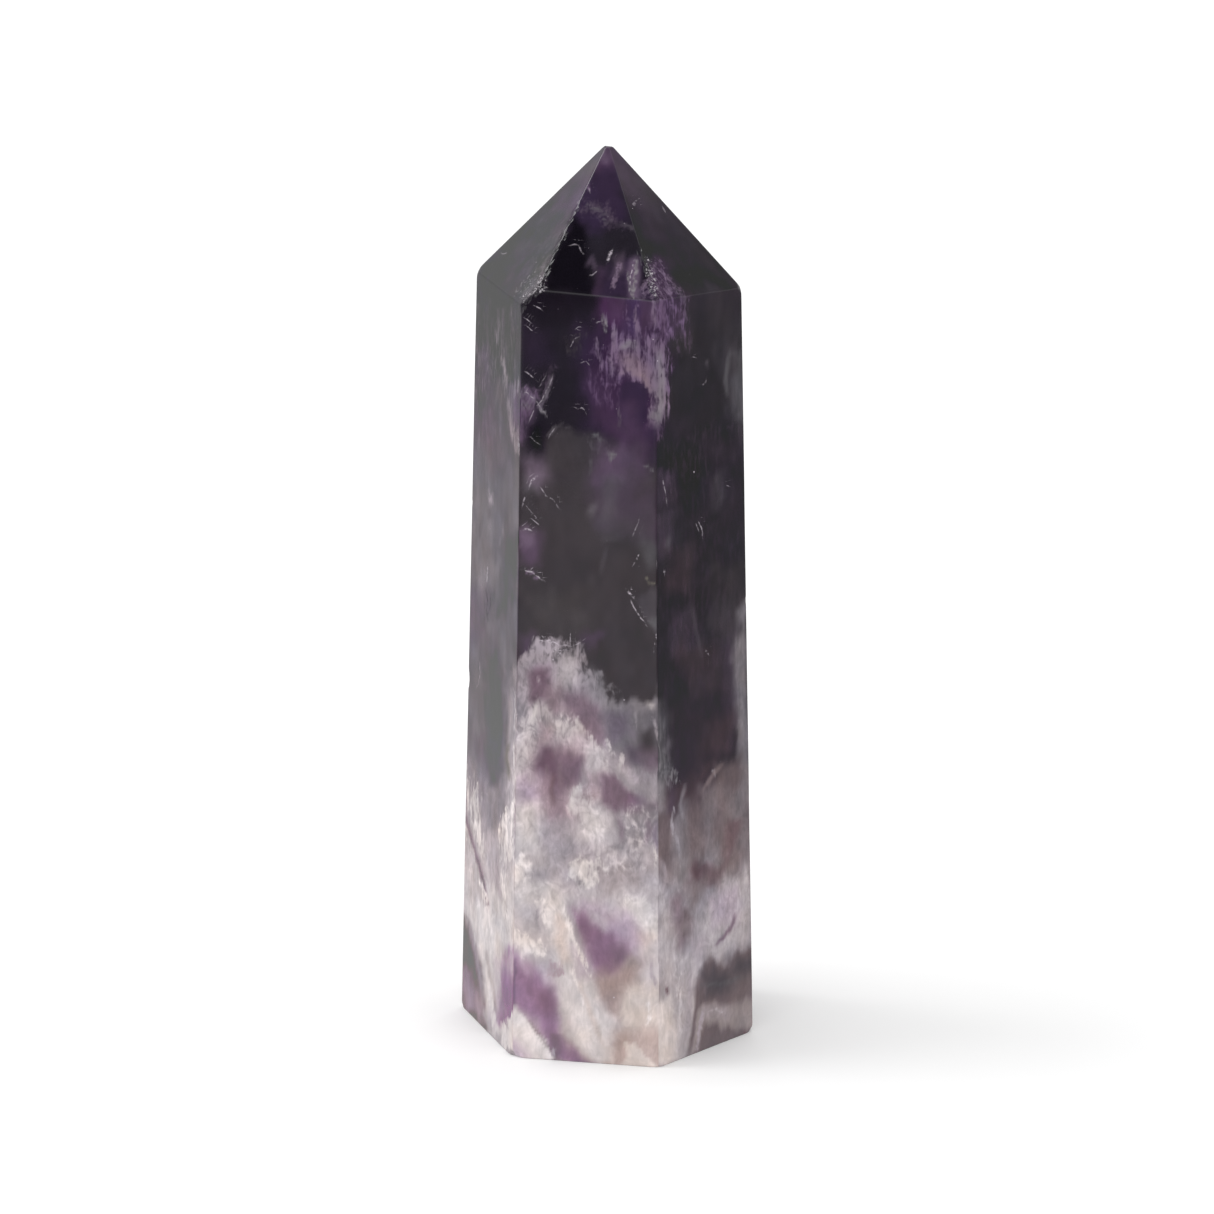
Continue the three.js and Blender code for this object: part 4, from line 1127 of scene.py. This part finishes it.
def fromScreen(colour):
    curve = ((np.maximum(colour, 0) + 0.055) / 1.055) ** 2.4
    return np.where(colour < 0.04045, colour / 12.92, curve)


# How far places are outside each of the named planes
def gapsTo(planes, names, places):
    return places @ np.array([planes[n][0] for n in names]).T - [planes[n][1] for n in names]


def toSegment(at, start, end):
    start, along = np.array(start, float), np.array(end, float) - np.array(start, float)
    share = np.clip((at - start) @ along / max(along @ along, 1e-9), 0, 1)
    offset = at - start - share[:, None] * along
    side = along[0] * offset[:, 1] - along[1] * offset[:, 0]
    return np.hypot(*offset.T), np.sign(side), share


def toPath(at, path):
    nearest, side = np.full(len(at), 1e9), np.ones(len(at))
    reach = np.zeros(len(at))
    for i in range(len(path) - 1):
        distance, sign, share = toSegment(at, path[i], path[i + 1])
        closer = distance < nearest
        nearest[closer], side[closer] = distance[closer], sign[closer]
        reach[closer] = (i + share[closer]) / (len(path) - 1)
    return nearest, side, reach


# How far inside an outline each place is, in pixels, and less than nothing outside it
def insideBy(at, outline):
    corners = outline + outline[:1]
    nearest = toPath(at, corners)[0]
    within = np.zeros(len(at), bool)
    for (x0, y0), (x1, y1) in zip(corners, corners[1:]):
        spans = (y0 > at[:, 1]) != (y1 > at[:, 1])
        crossing = x0 + (at[:, 1] - y0) * (x1 - x0) / ((y1 - y0) or 1e-9)
        within ^= spans & (at[:, 0] < crossing)
    return np.where(within, nearest, -nearest)


def near(at, points, margin):
    spots = np.array(points, float)
    return ((at > spots.min(0) - margin) & (at < spots.max(0) + margin)).all(1)


def wander(places, seed, amount):
    moved = np.zeros((len(places), 2))
    for k, name in enumerate(["sway", "ripple", "fray"]):
        far, size = growth[name]
        for axis in range(2):
            moved[:, axis] += far * (latticeNoise(places, size, seed + 7 * k + axis) - 0.5) * 2
    far, size = growth["feather"]
    moved[:, 1] += far * (latticeNoise(places, size, seed + 31) - 0.5) * 2
    return moved * amount


# The facet of the pattern that each place takes, and where in the frame its colour comes from.
# Places round the back take the pattern of the facet opposite, slipped, swayed and less crisp.
def patternPlaces():
    names = np.array(list(seenFacets))
    under = (stonePlaces @ planeNormals.T - planeDistances).argmax(1) == 0    # the foot comes first
    sideGaps, crownGaps = gapsTo(sides, names, stonePlaces), gapsTo(crown, names, stonePlaces)
    onCrown = crownGaps.max(1) > sideGaps.max(1)
    name = np.where(onCrown, names[crownGaps.argmax(1)], names[sideGaps.argmax(1)])
    partner = np.array([seenFacets[n] for n in name])
    back = stonePlaces[:, 1]
    hidden = (back > 0) & (name != partner)
    turned = stonePlaces.copy()
    turned[hidden, 1] *= -1
    turned[:, 2] += growth["backShift"] * back * (hidden & ~onCrown)
    crownNames = {n: "crown" + n[0].upper() + n[1:] for n in names}
    facet = np.where(onCrown, [crownNames[n] for n in partner], partner)
    far, size = growth["backSway"]
    sway = np.stack([latticeNoise(stonePlaces, size, seed) for seed in (91, 92)], 1) - 0.5
    depth = smooth(back, 0, growth["backDepth"]) * hidden
    at = pictured(turned) + sway * 2 * far * depth[:, None] * [growth["backAcross"], 1.0]
    return facet, at, under, 1 - growth["backFade"] * depth


shades = {name: np.array(value) / 255 for name, value in tones.items()}


def rampOf(values, stops):
    rows = [row for row, tone in stops]
    colours = np.array([shades[tone] for row, tone in stops])
    return np.stack([np.interp(values, rows, channel) for channel in colours.T], 1)


def blend(colours, on, colour, share):
    colours[on] += (colour - colours[on]) * share[:, None]


# The stone is laid down as its body, milk over it, and how far the milk covers
class Layers:
    def __init__(self, count):
        self.body = np.zeros((count, 3))
        self.milk = np.zeros((count, 3))
        self.cover = np.zeros(count)

    def lay(self, kind, on, tone, share):
        if kind == "veil":
            fresh = np.where(self.cover[on] < 0.05, smooth(share, 0, 0.05), share)
            blend(self.milk, on, shades[tone], fresh)
            self.cover[on] += (1 - self.cover[on]) * share
            return
        blend(self.body, on, shades[tone], share)
        if kind == "glow":
            blend(self.milk, on, shades[tone], share)
        else:
            self.cover[on] *= 1 - share


def placesOn(facet, names):
    return np.flatnonzero(np.isin(facet, names.split()))


def paintStone():
    facet, at, under, crisp = patternPlaces()
    torn = at + wander(stonePlaces, 11, 1.0)
    calm = at + wander(stonePlaces, 23, growth["calm"])
    tight = at + wander(stonePlaces, 57, growth["tight"])
    parts = [share * latticeNoise(stonePlaces, size, 71 + k)
             for k, (size, share) in enumerate(growth["uneven"])]
    uneven = sum(parts) - 1.5
    layers = Layers(len(at))
    gleam, lit = np.zeros(len(at)), np.ones(len(at))
    for name, stops in washes.items():
        on = facet == name
        layers.body[on] = rampOf(calm[on, 1] + growth["rowFray"] * uneven[on], stops)
        lit[on], glosses = sheen[name]
        gleam[on] = np.interp(at[on, 1], *zip(*glosses))
    layers.milk[:] = layers.body
    for names, group in zones.items():
        on = placesOn(facet, names)
        for kind, tone, strength, soft, outline in group.values():
            soft = soft * paint["softness"][kind]
            where = calm if kind == "glow" else torn
            some = on[near(where[on], outline, soft * 2)]
            inside = insideBy(where[some], outline) + soft * growth["zoneFray"] * uneven[some]
            layers.lay(kind, some, tone, strength * crisp[some] * smooth(inside, -soft, soft))
    outer, inner = paint["bandEdges"]
    for names, group in bands.items():
        on = placesOn(facet, names)
        for kind, tone, strength, halfWidth, path in group.values():
            some = on[near(tight[on], path, halfWidth * 2)]
            distance, side, reach = toPath(tight[some], path)
            share = smooth(-distance, halfWidth * outer, halfWidth * inner)
            share *= smooth(reach, -0.3, 0.25) * smooth(-reach, -1.2, -0.75)
            layers.lay(kind, some, tone, strength * crisp[some] ** 2 * share)
    drift = sum(latticeNoise(stonePlaces, size, 81 + k) for k, size in enumerate(paint["drift"]))
    tint = sum(latticeNoise(stonePlaces, size, 83 + k) for k, size in enumerate(paint["tintSizes"]))
    change = 2 * paint["driftShare"] * (drift[:, None] - 1) + paint["tint"] * (tint[:, None] - 1)
    layers.body *= 1 + change
    layers.milk *= 1 + change
    return facet, at, tight, layers, gleam, lit, under, crisp


# How thready the milk lies, and how cottony the stone looks where it is pale
def threadField(facet, at):
    thready = np.zeros(len(at))
    for names, strength, soft, outline in threads.values():
        on = placesOn(facet, names)
        some = on[near(at[on], outline, soft)]
        share = strength * smooth(insideBy(at[some], outline), -soft, soft)
        thready[some] = np.maximum(thready[some], share)
    return thready


# The sawn foot shows the growth rings of the six facets
footRings = [(0.0, "pearl"), (1.4, "chalk"), (2.6, "heather"), (3.6, "snow"), (5.0, "violet"),
             (6.4, "shell"), (8.0, "mist"), (9.5, "heather"), (12.0, "dusk")]


def paintFoot(layers, under):
    places = stonePlaces[under]
    depth = -gapsTo(sides, facetNames, places).max(1)
    rings = depth + 1.1 * (latticeNoise(places, 2.4, 35) - 0.5)
    rings += 0.5 * (latticeNoise(places, 0.8, 36) - 0.5)
    for colours in (layers.body, layers.milk):
        blend(colours, under, rampOf(rings, footRings), smooth(depth, 0, 1.2))


# How far each place lies from a fracture, to one side or the other, and how strong its painted
# glint is, less than nothing for the painted shade of a pit.
# There are three fields of each, taken in turn, so that neighbours don't cut one another short.
def fractureFields(facet, tight, crisp):
    far = paint["lineReach"]
    offset, strength = np.full((len(tight), 3), far), np.zeros((len(tight), 3))
    nearest = offset.copy()
    for name, group in fractureGlintsAndPits.items():
        on = np.flatnonzero(facet == name)
        for turn, (power, width, path) in enumerate(group.values()):
            field = turn % 3
            some = on[near(tight[on], path, far + 2)]
            distance, side, reach = toPath(tight[some], path)
            closer = distance < nearest[some, field]
            taken = some[closer]
            nearest[taken, field] = distance[closer]
            offset[taken, field] = (distance * side)[closer] / width
            taper = smooth(reach, -0.02, 0.15) * smooth(-reach, -1.02, -0.7)
            felt = power * taper * smooth(-distance, -far, -far / 2)
            strength[taken, field] = felt[closer] * crisp[taken] ** 2
    return offset, strength


def fleckField(at):
    thick, edge = np.full(len(at), paint["strayFlecks"]), paint["fleckEdge"]
    for density, outline in flecked.values():
        thick = np.maximum(thick, density * smooth(insideBy(at, outline), -edge, edge))
    return thick


def edgeWear():
    gaps = np.sort(stonePlaces @ planeNormals.T - planeDistances, axis=1)
    return smooth(gaps[:, -2] - gaps[:, -1], *paint["wornEdge"])


def buildStone():
    mesh = bpy.data.meshes.new("chevronPoint")
    mesh.from_pydata(((stonePlaces + axisAt) * mm).tolist(), [], stoneFaces)
    mesh.polygons.foreach_set("use_smooth", np.ones(len(stoneFaces), bool))
    mesh.update()
    mesh.normals_split_custom_set_from_vertices(stoneNormals.tolist())
    facet, at, tight, layers, gleam, lit, under, crisp = paintStone()
    paintFoot(layers, under)
    offset, strength = fractureFields(facet, tight, crisp)
    cottony = np.interp(at[:, 1], *zip(*paint["cottony"]))
    fields = {
        "cover": layers.cover, "flecks": fleckField(at), "wear": edgeWear(),
        "threads": threadField(facet, at),
        "cotton": smooth(layers.body.mean(1), *paint["cottonTones"]) * cottony,
    }
    for name, values in fields.items():
        field = mesh.attributes.new(name, "FLOAT", "POINT").data
        field.foreach_set("value", values.astype(np.float32))
    for name, values in {"fractureOffset": offset, "glintAndPitStrength": strength}.items():
        field = mesh.attributes.new(name, "FLOAT_VECTOR", "POINT").data
        field.foreach_set("vector", values.astype(np.float32).ravel())
    for name, colour in {"bodyColour": layers.body, "milkColour": layers.milk}.items():
        body = np.maximum((fromScreen(colour) - gleam[:, None]) / lit[:, None], paint["darkest"])
        painted = np.concatenate([body, np.ones((len(body), 1))], 1).astype(np.float32)
        field = mesh.attributes.new(name, "FLOAT_COLOR", "POINT").data
        field.foreach_set("color", painted.ravel())
    stone = bpy.data.objects.new("chevron_point", mesh)
    bpy.context.scene.collection.objects.link(stone)
    print("stone: painted", len(stonePlaces), "places")
    return stone


stone = buildStone()

finish = {
    "roughness": 0.055,
    "ior": 1.544,
    # Sizes in millimetres: fine growth threads, tufts of milk, and cottony clouds
    "fibre": (0.42, 0.42, 1.9),
    "tuft": (0.5, 0.5, 1.0),
    "cloud": (1.4, 1.4, 1.9),
    "ragged": (0.8, 3.0),       # how strongly fibres tear the milk, where it is plain and thready
    "tear": (0.06, 0.94),       # over which the milk closes
    "mottle": (0.25, 0.8),      # how much brightness varies where the stone is dark and pale
    "fractureWidth": 1.0,       # in pixels of the frame
    # The colour of the painted glint along fractures
    "fractureGlintColour": (0.62, 0.55, 0.62, 1),
    # The colour of the painted shade in pits
    "pitShadeColour": (0.01, 0.007, 0.012, 1),
    "fleckCell": 0.42,
    "fleckSize": (0.07, 0.26),  # the smallest, and what the largest have more, in cells
    # The colour of the painted sparkle in flecks
    "fleckSparkleColour": (0.6, 0.53, 0.6, 1),
    "grit": 0.24,
    # Bright and dark grit: the noise over which each sets in, and its colour
    "gritColours": [(0.02, 0.24, (0.42, 0.39, 0.42, 1)), (-0.04, -0.2, (0.03, 0.02, 0.035, 1))],
    "smudge": 0.05,             # roughness that handling adds here and there
    "edgeHaze": 0.12,           # and at the edges
    "bump": 0.25,
    "pit": 0.00001,
}


# Links a socket to another node's, or sets its value
def feed(tree, socket, source):
    if isinstance(source, bpy.types.NodeSocket):
        tree.links.new(source, socket)
    elif source is not None:
        socket.default_value = source


def feedAll(tree, node, values):
    for name, value in values.items():
        feed(tree, node.inputs[name], value)


def joined(tree, kind, *sources, **settings):
    made = tree.nodes.new("ShaderNode" + kind)
    for key, value in settings.items():
        setattr(made, key, value)
    for socket, source in zip(made.inputs, sources):
        feed(tree, socket, source)
    return made


def maths(tree, operation, *sources):
    return joined(tree, "Math", *sources, operation=operation).outputs[0]


def mixed(tree, share, first, second):
    made = tree.nodes.new("ShaderNodeMix")
    made.data_type = "RGBA"
    sockets = [socket for socket in made.inputs if socket.enabled]
    for socket, source in zip(sockets, (share, first, second)):
        feed(tree, socket, source)
    return [socket for socket in made.outputs if socket.enabled][0]


def product(tree, first, second):
    return maths(tree, "MULTIPLY", first, second)


def ranged(tree, value, start, end, low=0.0, high=1.0):
    node = joined(tree, "MapRange", value, start, end, low, high, interpolation_type="SMOOTHSTEP")
    return node.outputs[0]


def stretched(tree, size):
    place = joined(tree, "TexCoord").outputs["Object"]
    scale = tuple(float(1 / (side * mm)) for side in np.broadcast_to(size, 3))
    return joined(tree, "VectorMath", place, scale, operation="MULTIPLY").outputs[0]


# Noise with its middle at nothing, from about -0.5 to 0.5
def noiseOf(tree, size, detail=3.0, roughness=0.55, twist=0.0):
    noise = joined(tree, "TexNoise", stretched(tree, size))
    values = {"Scale": 1.0, "Detail": detail, "Roughness": roughness, "Distortion": twist}
    feedAll(tree, noise, values)
    return maths(tree, "SUBTRACT", noise.outputs["Fac"], 0.5)


def summed(tree, *parts):
    total = 0.0
    for value, amount in parts:
        total = maths(tree, "MULTIPLY_ADD", value, amount, total)
    return total


def fieldOf(tree, name, output="Fac"):
    return joined(tree, "Attribute", attribute_name=name).outputs[output]


# The milk closes over the body of the stone along a torn, thready edge
def milkOver(tree, fibre, tuft, cloud, thready):
    laid = fieldOf(tree, "cover")
    plain, most = finish["ragged"]
    pull = summed(tree, (thready, most - plain), (1.0, plain))
    torn = summed(tree, (product(tree, fibre, pull), 1.0), (tuft, 1.2), (cloud, 0.8))
    torn = product(tree, torn, ranged(tree, laid, 0.0, 0.25))
    cover = ranged(tree, summed(tree, (torn, 1.0), (laid, 1.0)), *finish["tear"])
    body, milk = [fieldOf(tree, name, "Color") for name in ("bodyColour", "milkColour")]
    return mixed(tree, cover, body, milk)


# Brightness varies like cotton, most where the stone is pale, and in threads where it is thready
def mottled(tree, colour, fibre, tuft, cloud, thready):
    least, full = finish["mottle"]
    share = summed(tree, (fieldOf(tree, "cotton"), full - least), (1.0, least))
    grain = summed(tree, (cloud, 1.4), (tuft, 1.0), (fibre, 0.5))
    threads = product(tree, fibre, thready)
    doublings = summed(tree, (product(tree, grain, share), 1.0), (threads, 0.9))
    scaled = joined(tree, "VectorMath", colour, operation="SCALE")
    feedAll(tree, scaled, {"Scale": maths(tree, "POWER", 2.0, doublings)})
    return scaled.outputs[0]


# Fractures: thin painted glints that break up along their length, and painted shade where it is
# pitted
def fractureGlintsAndPitShade(tree):
    line, pitShade = 0.0, 0.0
    fields = [joined(tree, "SeparateXYZ", fieldOf(tree, name, "Vector")).outputs
              for name in ("fractureOffset", "glintAndPitStrength")]
    wobble = noiseOf(tree, 0.7)
    for offset, strength in zip(*fields):
        across = maths(tree, "ABSOLUTE", summed(tree, (wobble, 1.8), (offset, 1.0)))
        drawn = ranged(tree, across, 0.0, finish["fractureWidth"], 1.0, 0.0)
        part = product(tree, drawn, strength)
        line, pitShade = maths(tree, "MAXIMUM", line, part), maths(tree, "MINIMUM", pitShade, part)
    broken = ranged(tree, noiseOf(tree, 0.4), -0.12, 0.1)
    return product(tree, line, broken), product(tree, pitShade, product(tree, broken, -1.0))


# Flecks: small cells, some of which hold a grain of painted sparkle of its own size and strength
def fleckGrains(tree, thick, tuft):
    cells = joined(tree, "TexVoronoi", stretched(tree, finish["fleckCell"]))
    feedAll(tree, cells, {"Scale": 1.0})
    chosen = joined(tree, "SeparateColor", cells.outputs["Color"]).outputs
    some = maths(tree, "LESS_THAN", chosen[0], product(tree, thick, 0.5))
    least, more = finish["fleckSize"]
    size = maths(tree, "MULTIPLY_ADD", maths(tree, "POWER", chosen[1], 2.0), more, least)
    apart = summed(tree, (tuft, 0.18), (cells.outputs["Distance"], 1.0))
    nearness = maths(tree, "SUBTRACT", 1.0, maths(tree, "DIVIDE", apart, size))
    fleck = product(tree, some, ranged(tree, nearness, 0.0, 0.7))
    return product(tree, fleck, product(tree, chosen[2], 0.7))


def stoneMaterial():
    material = bpy.data.materials.new("chevronAmethyst")
    material.use_nodes = True
    tree = material.node_tree
    shader = tree.nodes["Principled BSDF"]
    fibre = noiseOf(tree, finish["fibre"], 2.0, 0.6, 0.5)
    tuft = noiseOf(tree, finish["tuft"], 1.5, 0.5, 1.0)
    cloud = noiseOf(tree, finish["cloud"], 2.0, 0.5, 1.8)
    thready = fieldOf(tree, "threads")
    colour = milkOver(tree, fibre, tuft, cloud, thready)
    colour = mottled(tree, colour, fibre, tuft, cloud, thready)
    line, pitShade = fractureGlintsAndPitShade(tree)
    # Painted glints along the fractures
    colour = mixed(tree, line, colour, finish["fractureGlintColour"])
    # Painted shade in the pits
    colour = mixed(tree, pitShade, colour, finish["pitShadeColour"])
    thick = fieldOf(tree, "flecks")
    fleck = fleckGrains(tree, thick, tuft)
    # Flecks of painted sparkle
    colour = mixed(tree, fleck, colour, finish["fleckSparkleColour"])

    # Crushed corners, where flecks lie thickest: bright and dark grit
    crushed = ranged(tree, thick, 0.5, 0.95)
    grit = noiseOf(tree, finish["grit"], 1.0, 0.5, 0.5)
    for start, end, shade in finish["gritColours"]:
        share = product(tree, crushed, ranged(tree, grit, start, end))
        colour = mixed(tree, share, colour, shade)

    # Polish: slightly hazed where handling and chips have roughened it
    smudge = ranged(tree, noiseOf(tree, 4.0, 4.0), -0.05, 0.25, 0.0, finish["smudge"])
    haze = (fieldOf(tree, "wear"), finish["edgeHaze"])
    rough = summed(tree, (smudge, 1.0), haze, (1.0, finish["roughness"]))
    dents = (product(tree, crushed, grit), 6.0)
    height = summed(tree, (noiseOf(tree, 0.5), 0.4), (fleck, -1.0), dents)
    bump = joined(tree, "Bump")
    values = {"Strength": finish["bump"], "Distance": finish["pit"], "Height": height}
    feedAll(tree, bump, values)
    feedAll(tree, shader, {
        "Base Color": colour, "Roughness": rough, "Normal": bump.outputs[0], "IOR": finish["ior"],
        "Specular IOR Level": maths(tree, "MULTIPLY_ADD", pitShade, -0.5, 0.5),    # none in the pits
    })
    return material


stone.data.materials.append(stoneMaterial())
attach(stone, "root")
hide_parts("amethyst_point")

stage = {
    "floorSide": 6.0,
    "floorColour": (0.88, 0.88, 0.88, 1),
    "worldStrength": 1.12,
    # Degrees round from the front facet's right, degrees up, metres away, width, height, watts
    "lamp": (188, 52, 0.8, 0.4, 0.4, 2.0),
    "lampAim": 0.04,
    # What the polish sees of the table: it darkens along x (0) or y (1), between which metres,
    # and how bright it is beyond
    "tableGlow": 0.88,
    "tableFalls": [
        (1, -0.232, -0.295, 0.14),
        (0, 0.004, 0.022, 0.51),
        (0, 0.10, 0.17, 0.76),
        (0, -0.03, -0.07, 0.88),
        (0, -0.085, -0.125, 0.91),
        (0, -0.16, -0.24, 0.78),
    ],
    # Dark parts of the room that it sees: degrees round, degrees up, half width, brightness
    "darkRoom": {
        "overFront": (250, 66, 32, 0.03),
        "rightBack": (40, 33, 34, 0.5),
    },
}


# What a glossy reflection sees differs from what the eye sees
def onlyInPolish(tree, plain, mirrored, output):
    glossy = joined(tree, "LightPath").outputs["Is Glossy Ray"]
    both = joined(tree, "MixShader", glossy, plain.outputs[0], mirrored.outputs[0])
    feed(tree, tree.nodes[output].inputs["Surface"], both.outputs[0])


def makeFloor():
    half = stage["floorSide"] / 2
    mesh = bpy.data.meshes.new("table")
    corners = [(-half, -half, 0), (half, -half, 0), (half, half, 0), (-half, half, 0)]
    mesh.from_pydata(corners, [], [(0, 1, 2, 3)])
    floor = bpy.data.objects.new("table", mesh)
    bpy.context.scene.collection.objects.link(floor)
    material = bpy.data.materials.new("paleTable")
    material.use_nodes = True
    tree = material.node_tree
    shader = tree.nodes["Principled BSDF"]
    values = {"Base Color": stage["floorColour"], "Roughness": 0.9, "Specular IOR Level": 0.1}
    feedAll(tree, shader, values)
    place = joined(tree, "SeparateXYZ", joined(tree, "TexCoord").outputs["Object"]).outputs
    bright = stage["tableGlow"]
    for axis, start, end, beyond in stage["tableFalls"]:
        sign = 1.0 if end > start else -1.0
        along = product(tree, place[axis], sign)
        fall = ranged(tree, along, start * sign, end * sign, 1.0, beyond)
        bright = product(tree, bright, fall)
    glow = joined(tree, "Emission", None, bright)
    onlyInPolish(tree, shader, glow, "Material Output")
    mesh.materials.append(material)


def makeLamp():
    azimuth, elevation, distance, width, height, power = stage["lamp"]
    away = Vector(wayTo(azimuth, elevation))
    data = bpy.data.lights.new("key", "AREA")
    data.shape = "RECTANGLE"
    data.size, data.size_y = width, height
    data.energy = power
    lamp = bpy.data.objects.new("key", data)
    bpy.context.scene.collection.objects.link(lamp)
    lamp.location = Vector((0, 0, stage["lampAim"])) + away * distance
    lamp.rotation_euler = away.to_track_quat("Z", "Y").to_euler()


def makeWorld():
    world = bpy.data.worlds.new("studio")
    bpy.context.scene.world = world
    world.use_nodes = True
    tree = world.node_tree
    back = tree.nodes["Background"]
    feedAll(tree, back, {"Color": (1, 1, 1, 1), "Strength": stage["worldStrength"]})
    way = joined(tree, "TexCoord").outputs["Generated"]
    bright = 1.0
    for azimuth, elevation, halfWidth, least in stage["darkRoom"].values():
        middle = wayTo(azimuth, elevation)
        match = joined(tree, "VectorMath", way, middle, operation="DOT_PRODUCT").outputs["Value"]
        outer, inner = [math.cos(math.radians(halfWidth * share)) for share in (1, 0.45)]
        bright = product(tree, bright, ranged(tree, match, outer, inner, 1.0, least))
    onlyInPolish(tree, back, joined(tree, "Background", None, bright), "World Output")


def makeCamera():
    right, up, back = cameraAxes()
    data = bpy.data.cameras.new("camera")
    data.lens = data.sensor_width * view["focal"] / view["frameSide"]
    data.clip_start = 0.01
    data.clip_end = 20
    camera = bpy.data.objects.new("camera", data)
    bpy.context.scene.collection.objects.link(camera)
    turn = Matrix((right, up, back)).transposed().to_4x4()
    camera.matrix_world = Matrix.Translation((eyePlace() + axisAt) * mm) @ turn
    bpy.context.scene.camera = camera


makeFloor()
makeLamp()
makeWorld()
makeCamera()
bpy.context.scene.view_settings.view_transform = "Standard"
print("stage: floor, lamp, world and camera ready")
